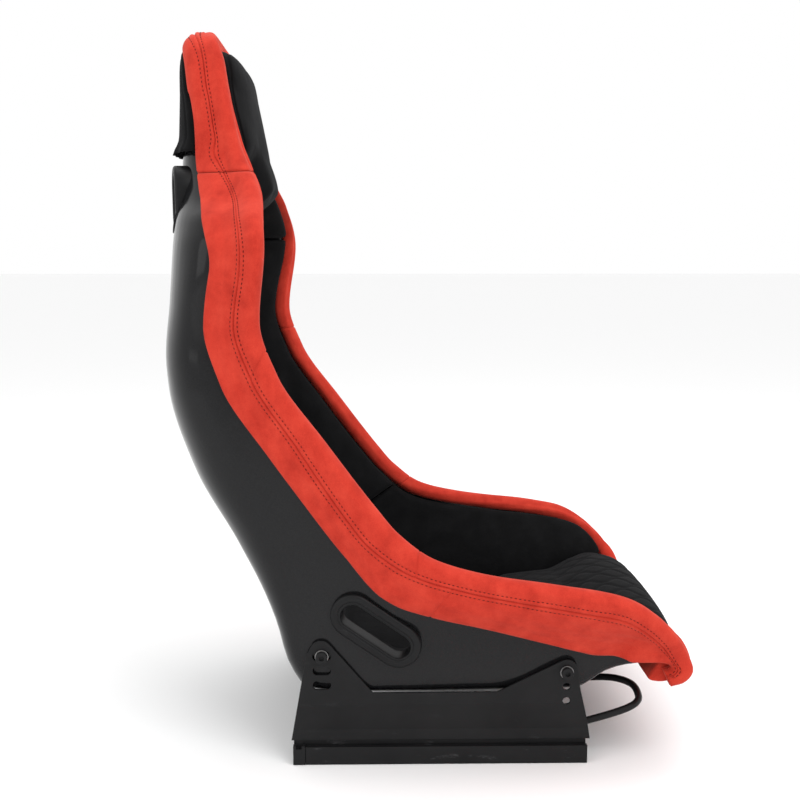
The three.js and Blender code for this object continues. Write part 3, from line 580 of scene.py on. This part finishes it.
def row_grooves(off):
    """Depth of the valleys that the two rows of stitches pull, at a distance from the seam."""
    return 0.7 * ridge(np.abs(off), SEAM_ROW, 1.2)


def trim_ring(u, side, end_near, pieced):
    """One ring of a trim, near an end or not. A pieced trim has seams across its panels."""
    s, curve, run, drop, seam_run = trim_seam(u)
    wanted = np.concatenate([
        np.linspace(0, seam_run + NEAR_SEAM[0], OUTER_COLUMNS)[:-1],
        seam_run + NEAR_SEAM,
        np.linspace(seam_run + NEAR_SEAM[-1], run[-1], INNER_COLUMNS)[1:],
    ])
    points = at_run(curve, run, wanted)
    ahead = at_run(curve, run, np.minimum(wanted + 0.4, run[-1]))
    behind = at_run(curve, run, np.maximum(wanted - 0.4, 0))
    turn = ahead - behind
    out = np.stack([turn[:, 1], -turn[:, 0]], -1)
    out /= np.hypot(*out.T)[:, None]
    if out[len(NEAR_SEAM)][1] > 0:
        out = -out
    off = wanted - seam_run
    groove = 2.1 * ridge(off, 0, 0.8) + row_grooves(off)
    groove -= 0.55 * ridge(np.abs(off), 2.7, 1.3)
    groove += 1.3 * ridge(end_near, 0, 1.8)
    if pieced:
        upper = cross_depth(u, np.clip(off / drop, 0, 1), UPPER_CROSS)
        lower = cross_depth(u, np.clip(-off / seam_run, 0, 1), LOWER_CROSS)
        groove += 1.3 * np.where(off > 0, upper, lower)
    swell = 0.5 * np.sin(0.9 * u + 0.11 * wanted) * np.sin(0.23 * wanted)
    points = points + out * (swell - groove)[:, None]
    closing = np.array([(TRIM_LIP + (s.flap - TRIM_LIP) * f, SHELL / 2) for f in (0.33, 0.66)])
    points = np.concatenate([points, closing])
    return s.skin(points[:, 0], points[:, 1], side)


# Seams across a side trim. Each runs from one station at the panel's edge to another at the middle seam.
UPPER_CROSS = ((14.1, 14.9), (21.2, 21.95))
LOWER_CROSS = ((23.9, 23.5),)
CROSS_WIDTH = 0.035


def cross_depth(u, share, places):
    """Depth of the seams across a panel; share is 0 at the middle seam and 1 at the panel's edge."""
    return sum(ridge(u, middle + (edge - middle) * share, CROSS_WIDTH) for edge, middle in places)


def with_seam_rows(stations):
    """Adds stations wherever a cross seam runs, so that its valley is sharp."""
    extra = [np.arange(min(place) - 0.08, max(place) + 0.08, 0.03) for place in (*UPPER_CROSS, *LOWER_CROSS)]
    return np.unique(np.concatenate([stations, *extra]).round(4))


def trim(name, path, nodes, tip=False):
    """A band along the path. One with a tip starts at a joint, has seams across it and ends in the open."""
    run = run_along(np.array([Section(u).skin(0, 0, side) for u, side in path]))
    ends = run if tip else np.minimum(run, run[-1] - run)
    rings = [trim_ring(u, side, near, pieced=tip) for (u, side), near in zip(path, ends)]
    obj = make_mesh(name, *ring_body(rings), RED)
    finished(obj, "seat", nodes)
    stitches(f"{name}_stitches", path, obj)


def capsule(start, end, up, radius, points, faces, sides=6):
    """One stitch: a short thread, thicker in the middle, whose ends dive into the suede."""
    axis = end - start
    length = np.linalg.norm(axis)
    axis = axis / length
    across = np.cross(axis, up)
    across /= np.linalg.norm(across)
    lift = np.cross(across, axis)
    first = len(points)
    profile = ((0.0, 0.35, -1.1), (0.16, 0.9, -0.25), (0.5, 1.0, 0.1), (0.84, 0.9, -0.25), (1.0, 0.35, -1.1))
    for share, thick, high in profile:
        middle = start + axis * length * share + lift * radius * high
        for k in range(sides):
            angle = 2 * math.pi * k / sides
            points.append(middle + (across * math.cos(angle) + lift * math.sin(angle)) * radius * thick)
    for r in range(len(profile) - 1):
        for k in range(sides):
            a, b = first + r * sides + k, first + r * sides + (k + 1) % sides
            faces.append((a, b, b + sides, a + sides))
    faces.append(tuple(first + k for k in range(sides))[::-1])
    faces.append(tuple(first + (len(profile) - 1) * sides + k for k in range(sides)))


THREAD_RADIUS = 0.55
DASH = 0.6  # share of the pitch that a stitch covers


def thread(name, lines, surface):
    """Red stitches laid along lines, each an array of points near a surface, in millimetres."""
    tree = BVHTree.FromObject(surface, bpy.context.evaluated_depsgraph_get())
    points, faces = [], []
    for line in lines:
        run = run_along(line)
        for k in range(int(run[-1] // STITCH_PITCH)):
            ends = []
            for a in (k * STITCH_PITCH, (k + DASH) * STITCH_PITCH):
                p = np.array([np.interp(a, run, line[:, i]) for i in range(3)])
                spot, normal, _, _ = tree.find_nearest(Vector(in_frame(p)))
                ends.append((on_datum(spot), np.array(normal)))
            (start, n0), (end, n1) = ends
            if 0.2 < np.linalg.norm(end - start) < STITCH_PITCH * 1.5:
                up = n0 + n1
                capsule(start + up * 0.07, end + up * 0.07, up, THREAD_RADIUS, points, faces)
    data = bpy.data.meshes.new(name)
    data.from_pydata(in_frame(points).tolist(), [], faces)
    shade_smooth(data)
    data.materials.append(RED_THREAD)
    finished(linked(name, data), "seat")


def stitches(name, path, surface):
    lines = []
    for row in (-SEAM_ROW, SEAM_ROW):
        line = []
        for u, side in path:
            s, curve, run, _, seam_run = trim_seam(u)
            spot = at_run(curve, run, np.array([seam_run + row]))
            line.append(s.skin(spot[:, 0], spot[:, 1], side)[0])
        lines.append(np.array(line))
    thread(name, lines, surface)


TRIM_SPACING = 5
JOINT_GAP = 0.01  # in stations, on each side of the joint between two trims
trim("head_band", over_head(HEAD_JOINT - JOINT_GAP, TRIM_SPACING), ["head_trim"])
side_stations = with_seam_rows(even_stations(HEAD_JOINT + JOINT_GAP, TIP, TRIM_SPACING))
for name, side in SIDES:
    trim(f"side_band_{name}", [(u, side) for u in side_stations],
         [f"back_trim_{name}", f"thigh_trim_{name}"], tip=True)


# The front band folds from the cushion's edge round the pan's lip and back underneath.
FRONT_BAND = np.array([
    (346, 130.5), (360, 139.5), (374, 145.5), (380.5, 138), (384, 128), (382, 117), (375, 109.5), (358, 104),
    (340, 103.7), (333, 107), (336, 114), (341, 122),
], float)
FRONT_BAND_HALF = 213
FRONT_SEAM = 0.355  # share of the way round, at the band's nose
FRONT_RINGS = 130


def front_band():
    ends = [FRONT_BAND[i % len(FRONT_BAND)] for i in range(-1, len(FRONT_BAND) + 2)]
    f = np.linspace(0, 1, 12, endpoint=False)[:, None]
    outline = np.concatenate([catmull(*ends[i:i + 4], f) for i in range(len(FRONT_BAND))])
    step = np.roll(outline, -1, 0) - outline
    run = np.concatenate([[0], np.cumsum(np.hypot(*step.T))])
    turn = np.roll(outline, -1, 0) - np.roll(outline, 1, 0)
    out = np.stack([-turn[:, 1], turn[:, 0]], 1) / np.hypot(*turn.T)[:, None]
    off = run[:-1] - FRONT_SEAM * run[-1]
    rings = []
    for y in np.linspace(-FRONT_BAND_HALF, FRONT_BAND_HALF, FRONT_RINGS):
        groove = 2.0 * ridge(off, 0, 0.9) + row_grooves(off) + 2.2 * ridge(abs(y), FRONT_BAND_HALF, 2.2)
        swell = 0.35 * math.sin(0.05 * y) * np.sin(0.2 * run[:-1])
        flat = outline + out * (swell - groove)[:, None]
        rings.append(np.stack([flat[:, 0], np.full(len(flat), y), flat[:, 1]], 1))
    obj = make_mesh("front_band", *ring_body(rings), RED)
    finished(obj, "seat", ["front_trim"])
    rows = [np.argmin(np.abs(off - row)) for row in (-SEAM_ROW, SEAM_ROW)]
    lines = [np.array([ring[row] for ring in rings[2:-2]]) for row in rows]
    thread("front_band_stitches", lines, obj)


front_band()


# -------------------- slots
def slot_frame(slot, side):
    """Centre on the shell's outer face, and the slot's long, wide and outward directions."""
    s = Section(slot["station"])
    centre = s.skin(slot["drop"], 0, side)
    normal = s.skin(slot["drop"], -10, side) - centre
    normal /= np.linalg.norm(normal)
    slope = math.radians(slot["slope"])
    long = np.array([math.cos(slope), 0, math.sin(slope)])
    long -= normal * (long @ normal)
    long /= np.linalg.norm(long)
    return centre, long, np.cross(normal, long), normal


def obround(straight, radius, count=96):
    """Evenly spaced points round a slot, with the outward direction at each."""
    perimeter = 2 * straight + 2 * math.pi * radius
    along = perimeter * np.arange(count // 2) / count
    turn = np.maximum(along - straight, 0) / radius - math.pi / 2
    outward = np.stack([np.cos(turn), np.sin(turn)], 1)
    middle = np.minimum(along, straight) - straight / 2
    points = outward * radius + np.stack([middle, np.zeros_like(middle)], 1)
    return np.concatenate([points, -points]), np.concatenate([outward, -outward])


def slot_rings(slot, side, radii_heights):
    """Rings round a slot: one per (radius, height above the shell's face)."""
    centre, long, wide, normal = slot_frame(slot, side)
    base, outward = obround(slot["straight"], slot["inner"])
    rings = []
    for radius, height in radii_heights:
        flat = base + outward * (radius - slot["inner"])
        high = np.broadcast_to(height, (len(flat),))[:, None]
        rings.append(centre + flat[:, :1] * long + flat[:, 1:] * wide + high * normal)
    return rings


def slot_tool(slot, side, clear, deep):
    """Plug that cuts a slot, a little wider than its frame's mouth, from deep under the face to above it."""
    radius = slot["inner"] + clear
    rings = slot_rings(slot, side, [(radius, deep), (radius, 40)])
    return make_mesh("slot_tool", *ring_body(rings), BLACK)


SLOTS = (("lap", LAP_SLOT), ("shoulder", SHOULDER_SLOT))


# -------------------- shell
def shell():
    """Glass-fibre shell from under the trims to the middle line, with its four slots."""
    sections = [(Section(u), side) for u, side in over_head(SHELL_END, 9)]
    columns = np.concatenate([np.linspace(0, 0.75, 44), np.linspace(0.78, 1, 9)])
    top, bottom = (
        np.array([s.skin(RIM_DROP + (s.half - RIM_DROP) * columns, offset, side) for s, side in sections])
        for offset in (SHELL, 0))
    obj = make_mesh("gloss_shell", *layer_body(top, bottom, last_column=False), GELCOAT)
    subtract(obj, [slot_tool(slot, side, 3.6, -60) for _, slot in SLOTS for _, side in SIDES])
    shade_smooth(obj.data)
    obj.data.set_sharp_from_angle(angle=math.radians(40))
    return finished(obj, "seat", ["shell"])


shell_tree = BVHTree.FromObject(shell(), bpy.context.evaluated_depsgraph_get())


# -------------------- slot bezels
BEZEL_TOP = 7.0  # above the shell's face at the slot's middle
COLLAR_FOOT = -14


def bezel(where, slot, name, side):
    """Moulded frame: a broad rounded flange that follows the shell, a raised lip, and a collar."""
    centre, _, _, normal = slot_frame(slot, side)
    inner, outer = slot["inner"], slot["outer"]
    heights = []
    for p in slot_rings(slot, side, [(outer, 0)])[0]:
        start = Vector(in_frame(p + normal * 30))
        spot, _, _, _ = shell_tree.ray_cast(start, Vector(-normal), 0.08)
        heights.append(0 if spot is None else (on_datum(spot) - centre) @ normal)
    ground = np.array(heights)
    top = BEZEL_TOP
    lip = np.maximum(ground + 1.2, top - 2.6)
    section = [
        (outer - 0.4, ground - 2.5), (outer, ground + 0.6), (outer - 0.1, lip - 0.4),
        (outer - 0.7, lip + 0.9), (outer - 1.9, top - 0.6), (outer - 3.4, top),
        (inner + 5.8, top), (inner + 4.8, top - 0.5), (inner + 4.2, top - 1.4),
        (inner + 3.4, top - 1.5), (inner + 2.2, top - 0.6), (inner + 1.1, top - 0.5),
        (inner + 0.3, top - 1.3), (inner, top - 2.6), (inner, 0),
        (inner, COLLAR_FOOT), (inner + 3.3, COLLAR_FOOT), (inner + 3.3, -3),
    ]
    rings = slot_rings(slot, side, section)
    points, faces = ring_body([*rings, rings[0]], caps=False)
    obj = make_mesh(f"{where}_bezel_{name}", points, faces, BEZEL)
    finished(obj, "seat", [f"{where}_slot_bezel_{name}"])
    obj.data.set_sharp_from_angle(angle=math.radians(50))


for where, slot in SLOTS:
    for name, side in SIDES:
        bezel(where, slot, name, side)


# -------------------- pads
def attribute(obj, key):
    values = np.zeros(len(obj.data.vertices), np.float32)
    obj.data.attributes[key].data.foreach_get("value", values)
    return values.astype(float)


def coordinates(obj):
    """Mesh points, in metres."""
    co = np.zeros(len(obj.data.vertices) * 3, np.float32)
    obj.data.vertices.foreach_get("co", co)
    return co.reshape(-1, 3).astype(float)


def normals(obj):
    found = np.zeros(len(obj.data.vertices) * 3, np.float32)
    obj.data.vertices.foreach_get("normal", found)
    return found.reshape(-1, 3).astype(float)


def put_back(obj, points):
    obj.data.vertices.foreach_set("co", points.astype(np.float32).ravel())
    obj.data.update()


CLOTH_FRAMES = 20
COVER_PRESSURE = 4.0


def inflate(obj, cap):
    """Blows the cover out over its foam as cloth, held by its "sewn" attribute, and then doubles its points.

    No point moves further than the cap, in millimetres.
    """
    start = coordinates(obj)
    group = obj.vertex_groups.new(name="sewn")
    for i, weight in enumerate(attribute(obj, "sewn")):
        group.add([i], float(weight), "REPLACE")
    cloth = obj.modifiers.new("cover", "CLOTH")
    settings = cloth.settings
    settings.vertex_group_mass = "sewn"
    settings.use_pressure = True
    settings.uniform_pressure_force = COVER_PRESSURE
    settings.effector_weights.gravity = 0
    settings.tension_stiffness = settings.compression_stiffness = 12
    settings.shear_stiffness = 6
    settings.bending_stiffness = 0.3
    settings.quality = 6
    cloth.point_cache.frame_end = CLOTH_FRAMES
    for step in range(1, CLOTH_FRAMES + 1):
        bpy.context.scene.frame_set(step)
    graph = bpy.context.evaluated_depsgraph_get()
    blown = obj.evaluated_get(graph).to_mesh()
    moved = np.zeros(len(blown.vertices) * 3, np.float32)
    blown.vertices.foreach_get("co", moved)
    move = moved.reshape(-1, 3) - start
    far = np.linalg.norm(move, axis=1, keepdims=True)
    move *= np.minimum(1, cap * 0.001 / np.maximum(far, 1e-9))
    obj.modifiers.clear()
    obj.vertex_groups.clear()
    put_back(obj, start + move)
    bpy.context.scene.frame_set(1)
    finer = obj.modifiers.new("finer", "SUBSURF")
    finer.levels = finer.render_levels = 1
    apply_modifiers(obj)


def quilt(obj, pitch=25, wave=44, sway=8.5, depth=2.3):
    """Sews wavy channels into the cover where its "quilted" attribute says, by its "along" and "across"."""
    along, across, where = attribute(obj, "along"), attribute(obj, "across"), attribute(obj, "quilted")
    nearest = np.full(len(along), 1e9)
    for k in range(-12, 13):
        line = (k + 0.5) * pitch + (-1) ** k * sway * np.sin(2 * math.pi * along / wave)
        nearest = np.minimum(nearest, np.abs(across - line))
    crown = 1 - np.exp(-(nearest / 3.2) ** 1.3)
    put_back(obj, coordinates(obj) + normals(obj) * ((crown - 0.75) * depth * 0.001 * where)[:, None])


def press(obj, key, depth):
    """Presses a seam into the cover where the attribute says."""
    put_back(obj, coordinates(obj) - normals(obj) * (attribute(obj, key) * depth * 0.001)[:, None])


def pad(name, top, base, nodes, cap, values, cuts=(), last_column=True):
    """A sewn cover between two layers of points: blown up, quilted, seamed and pierced for the belts.

    values holds an array for the top layer under each name. The base is sewn down all over.
    """
    top, base = np.array(top), np.array(base)
    points, faces = layer_body(top, base, last_column)
    both = {}
    for key, value in values.items():
        below = np.full(base.shape[:2], 1.0 if key == "sewn" else 0.0)
        both[key] = np.concatenate([np.array(value).ravel(), below.ravel()])
    obj = make_mesh(name, points, faces, BLACK, both)
    inflate(obj, cap)
    if "quilted" in values:
        quilt(obj)
    press(obj, "seam", SEAM_PRESS)
    if cuts:
        subtract(obj, [slot_tool(slot, side, 3.8, -75) for slot, side in cuts])
    shade_smooth(obj.data)
    return finished(obj, "seat", nodes)


WING_FOAM = 14
PANEL_FOAM = 26
PANEL_RISE = 8
HEAD_CROWN = np.array([(0, 84), (4, 84), (8, 127), (9, 120), (10, 70)], float)
HEAD_END = 9.6
PAD_GAP = 0.02  # in stations, between the head cushion and the backrest


def wing_foam(f):
    return LINING + WING_FOAM * np.sin(math.pi * f)


def panel_foam(f):
    return PANEL_FOAM + PANEL_RISE * smooth(f / 0.4)


def back_level(s, along):
    """Height of the backrest's foam above the shell: the wings' linings, and the panel between them."""
    share = (along - PAD_START) / (s.half - PAD_START)
    wing = wing_foam(np.clip(share / PANEL_EDGE, 0, 1))
    middle = panel_foam(np.clip((share - PANEL_EDGE) / (1 - PANEL_EDGE), 0, 1))
    return np.where(share < PANEL_EDGE, wing, middle)


def head_cushion():
    """Fills the arch, stands proud of it, and narrows to a neck roll between the shoulder slots."""
    path = over_head(HEAD_END, 7.5)
    f = np.linspace(0, 1, 25)
    top, base, sewn, seam = [], [], [], []
    for u, side in path:
        s = Section(u)
        along = PAD_START + (s.half - PAD_START) * f
        flat = s.flat_points(along, np.full_like(along, SHELL + 12.0))
        lining = s.flat_points(along, SHELL + back_level(s, along))
        crown = np.interp(u, HEAD_CROWN[:, 0], HEAD_CROWN[:, 1]) - 5
        rise = np.sin(np.minimum(1, 1.3 * f) * math.pi / 2) ** 0.6
        full = s.depth - 3 + (crown - s.depth + 3) * rise
        side_gone = smooth((u - 5.7) / 2.3)
        middle_gone = smooth((u - 7.4) / 2.1)
        gone = side_gone + (middle_gone - side_gone) * smooth((f - 0.55) / 0.25)
        proud = np.stack([flat[:, 0], np.maximum(flat[:, 1], full)], -1)
        top.append(s.place(proud * (1 - gone)[:, None] + lining * gone[:, None], side))
        base.append(s.skin(along, SHELL + PAD_LIFT, side))
        edge = ridge(f, 0, 0.03)
        hem = ridge(u, HEAD_END, 0.06)
        border = ridge(along - PAD_START, 12, 2.6) * smooth((7.2 - u) / 0.8)
        sewn.append(np.clip(edge + hem + 0.8 * border, 0, 1))
        seam.append(np.clip(border + hem, 0, 1))
    values = {"sewn": sewn, "seam": seam}
    cuts = [(SHOULDER_SLOT, side) for _, side in SIDES]
    pad("head_cushion", top, base, ["head_pad"], 8, values, cuts, last_column=False)


def wing_lining(name, side, start, end):
    """Bolster along one wing of the backrest, from the trim's lip to the middle panel."""
    path = [(u, side) for u in even_stations(start, end, 7.5)]
    f = np.linspace(0, 1, 22)
    top, base, sewn = [], [], []
    for u, _ in path:
        s = Section(u)
        limit = PAD_START + (s.half - PAD_START) * PANEL_EDGE - 0.5
        along = PAD_START + (limit - PAD_START) * f
        top.append(s.skin(along, SHELL + wing_foam(f) - 2.5, side))
        base.append(s.skin(along, SHELL + PAD_LIFT, side))
        ends = ridge(u, start, 0.05) + ridge(u, end, 0.05)
        sewn.append(np.clip(ridge(f, 0, 0.03) + ridge(f, 1, 0.03) + ends, 0, 1))
    values = {"sewn": sewn, "seam": np.array(sewn) * 0.6}
    pad(f"wing_lining_{name}", top, base, [f"back_bolster_{name}"], 6, values, [(SHOULDER_SLOT, side)])


def back_panel(start, end):
    """Quilted middle of the backrest, with a plain border and a seam across the loins."""
    stations = even_stations(start, end, 5)
    half = np.linspace(0, 1, 36)
    f = np.concatenate([half, half[-2::-1]])
    sides = np.where(np.arange(len(f)) < len(half), 1.0, -1.0)
    run = run_along(np.array([Section(u).skin(Section(u).half, 0, 1) for u in stations]))
    loin_seam = run[-1] * 0.36
    top, base = [], []
    values = {key: [] for key in ("sewn", "seam", "along", "across", "quilted")}
    for u, r in zip(stations, run):
        s = Section(u)
        limit = PAD_START + (s.half - PAD_START) * PANEL_EDGE + 1
        along = limit + (s.half - limit) * f
        spot = s.flat_points(along, SHELL + panel_foam(f) - 3)
        floor_spot = s.flat_points(along, np.full_like(along, SHELL + PAD_LIFT))
        spot[:, 0] *= sides
        floor_spot[:, 0] *= sides
        for rows, flat in ((top, spot), (base, floor_spot)):
            placed = s.place(np.abs(flat) * (1, 0) + flat * (0, 1), 1)
            placed[:, 1] *= sides
            rows.append(placed)
        inset = along - limit
        edge = ridge(f, 0, 0.03) + ridge(u, start, 0.05) + ridge(u, end, 0.05)
        border = ridge(inset, 26, 2.4)
        cross = ridge(r, loin_seam, 2.6) * smooth((inset - 24) / 4)
        lengthways = smooth((r - loin_seam - 3) / 5) * smooth((run[-1] - r - 8) / 8)
        values["sewn"].append(np.clip(edge + 0.9 * border + 0.9 * cross, 0, 1))
        values["seam"].append(np.clip(0.5 * edge + border + cross, 0, 1))
        values["along"].append(np.full_like(along, r))
        values["across"].append((s.half - along) * sides)
        values["quilted"].append(smooth((inset - 27) / 4) * lengthways)
    pad("back_panel", top, base, ["back_pad"], 6, values)


def thigh_lining(name, side, start, end):
    """Padding on one side of the seat, from the trim's lip down to the cushion."""
    path = [(u, side) for u in even_stations(start, end, 7.5)]
    f = np.linspace(0, 1, 20)
    top, base, sewn = [], [], []
    for u, _ in path:
        s = Section(u)
        foot = s.foot - CUSHION_SIDE + 4
        along = PAD_START + (s.run_to_width(foot) - PAD_START) * f
        spot = s.flat_points(along, SHELL + LINING + 4 * np.sin(math.pi * f) - 2 * f - 2.5)
        spot[:, 0] = np.maximum(spot[:, 0], foot - 1)
        top.append(s.place(spot, side))
        base.append(s.skin(along, SHELL + PAD_LIFT, side))
        ends = ridge(u, start, 0.05) + ridge(u, end, 0.08)
        sewn.append(np.clip(ridge(f, 0, 0.03) + ridge(f, 1, 0.03) + ends, 0, 1))
    values = {"sewn": sewn, "seam": np.array(sewn) * 0.5}
    pad(f"seat_lining_{name}", top, base, [f"thigh_lining_{name}"], 5, values, [(LAP_SLOT, side)])


cushion_top = Measure([(21, 62), (22, 60), (24, 48), (25, 47), (28, 62), (30, 53), (32, 40)])
CUSHION_SEAM = 27  # station where the seam across the cushion reaches furthest forward


def seat_cushion():
    """Plain at the back, quilted ahead of a seam that points forwards, its front rolled over the lip."""
    stations = even_stations(LOIN + 0.03, 32, 6.5)
    share = np.linspace(-1, 1, 61)
    run = run_along(np.array([Section(u).place(np.array([0.0, cushion_top(u)]), 1) for u in stations]))
    seam_run = np.interp(CUSHION_SEAM, stations, run)
    top, base = [], []
    values = {key: [] for key in ("sewn", "seam", "along", "across", "quilted")}
    for u, r in zip(stations, run):
        s = Section(u)
        foot = s.foot - CUSHION_SIDE
        y = np.abs(share) * foot
        crown = 8 * (1 - share**2) - 8 * np.abs(share) ** 6
        sides = np.where(share < 0, -1.0, 1.0)
        for rows, height in ((top, cushion_top(u) + crown - 3), (base, SHELL + PAD_LIFT + 6 * share**4)):
            placed = s.place(np.stack([y, height], -1), 1)
            placed[:, 1] *= sides
            rows.append(placed)
        edge = ridge(np.abs(share), 1, 0.02) + ridge(u, stations[0], 0.05) + ridge(u, stations[-1], 0.08)
        inset = foot - y
        border = ridge(inset, 34, 2.6)
        across_seam = seam_run - 16 * np.abs(share)
        cross = ridge(r, across_seam, 2.8)
        lengthways = smooth((r - across_seam - 3) / 5) * smooth((run[-1] - r - 6) / 8)
        values["sewn"].append(np.clip(edge + 0.85 * border + 0.9 * cross, 0, 1))
        values["seam"].append(np.clip(0.6 * edge + 0.8 * border + cross, 0, 1))
        values["along"].append(np.full_like(y, r))
        values["across"].append(y * sides)
        values["quilted"].append(smooth((inset - 30) / 6) * lengthways)
    pad("quilted_cushion", top, base, ["seat_cushion"], 7, values)


HOOD_HEM = 6.1  # station
HOOD_LIFT = 5.4
HOOD_FLARE = 7


def rear_hood():
    """Cover on the rear of the head, stretched over wadding, with a raw hem that stands off the shell."""
    path = over_head(HOOD_HEM, 5)
    f = np.linspace(0, 1, 60)
    outer, inner = [], []
    for u, side in path:
        s = Section(u)
        along = s.flap + 1 + (s.half - s.flap - 1) * f
        ripple = 1 + 0.18 * np.sin(31 * f + 2 * side)
        flare = HOOD_FLARE * smooth((u - HOOD_HEM + 0.75) / 0.75) ** 2 * ripple
        inset = f * (s.half - s.flap)
        lift = HOOD_LIFT + flare - 3.4 * ridge(inset, 0, 3) - 1.1 * ridge(inset, 12, 1.5)
        outer.append(s.skin(along, -lift, side))
        inner.append(s.skin(along, np.where(flare > 0.5, 1.4 - lift, -1.0), side))
    obj = make_mesh("rear_hood", *layer_body(np.array(outer), np.array(inner), last_column=False), BLACK)
    finished(obj, "seat", ["head_rear_cover"])


head_cushion()
rear_hood()
back_panel(HEAD_END + PAD_GAP, LOIN)
seat_cushion()
for name, side in SIDES:
    wing_lining(name, side, HEAD_END + PAD_GAP, LOIN)
    thigh_lining(name, side, LOIN + 0.01, 31)


# -------------------- steel, nylon and fasteners of the frame
METAL_EDGE = 0.0004  # broken edge on sheet and bar
BRIGHT = ("washer", "nut", "rail_bolt", "lever_pin", "lock_lever", "lock_rack")
ROUND = ("release_bar", "lever_spring")
MOULDED = ("rail_cap", "ball_cage")


def dress(node, material, rounded):
    """Finish and softened edges for a piece of the frame, whose own mesh stays as it is."""
    node.data.materials.clear()
    node.data.materials.append(material)
    node.modifiers.new("joined", "WELD").merge_threshold = 1e-6
    if rounded:
        finer = node.modifiers.new("round", "SUBSURF")
        finer.levels = finer.render_levels = 2
        return
    edge = node.modifiers.new("broken_edge", "BEVEL")
    edge.width = METAL_EDGE
    edge.segments = 2
    edge.limit_method = "ANGLE"
    edge.angle_limit = math.radians(40)
    edge.harden_normals = False
    node.modifiers.new("even", "WEIGHTED_NORMAL").keep_sharp = True


def finish_of(name):
    """The finish of a piece of the frame, by the words in its name."""
    for words, look in ((BRIGHT, ZINC), (("lever_spring",), SPRING), (MOULDED, NYLON)):
        if any(word in name for word in words):
            return look
    return POWDER


for name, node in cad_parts.items():
    if not node.hide_render:
        dress(node, finish_of(name), rounded=name.startswith(ROUND))


# -------------------- surroundings
def soft_light(name, place, aim, size, power):
    data = bpy.data.lights.new(name, "AREA")
    data.shape = "RECTANGLE"
    data.size, data.size_y = size
    data.energy = power
    light = linked(name, data)
    light.location = place
    light.rotation_mode = "QUATERNION"
    light.rotation_quaternion = (Vector(aim) - Vector(place)).to_track_quat("-Z", "Y")


soft_light("key", (1.3, -1.7, 2.3), (0.0, 0.0, 0.45), (1.6, 1.6), 30)
soft_light("top", (0.1, 0.2, 2.6), (0.0, 0.0, 0.3), (2.0, 2.0), 20)
soft_light("fill", (-1.9, -1.5, 1.3), (0.0, 0.0, 0.5), (1.2, 2.0), 10)
world = bpy.data.worlds.new("studio")
world.use_nodes = True
world.node_tree.nodes["Background"].inputs["Color"].default_value = (1, 1, 1, 1)
world.node_tree.nodes["Background"].inputs["Strength"].default_value = 1.0
bpy.context.scene.world = world
bpy.context.scene.view_settings.view_transform = "Standard"

floor_data = bpy.data.meshes.new("floor")
floor_data.from_pydata([(-30, -30, 0), (30, -30, 0), (30, 30, 0), (-30, 30, 0)], [], [(0, 1, 2, 3)])
floor = linked("floor", floor_data)
floor.location = (0, 0, -0.0005)
pale = Nodes("pale_floor")
floor_data.materials.append(pale.set(Base_Color=(0.94, 0.94, 0.94), Roughness=0.9))
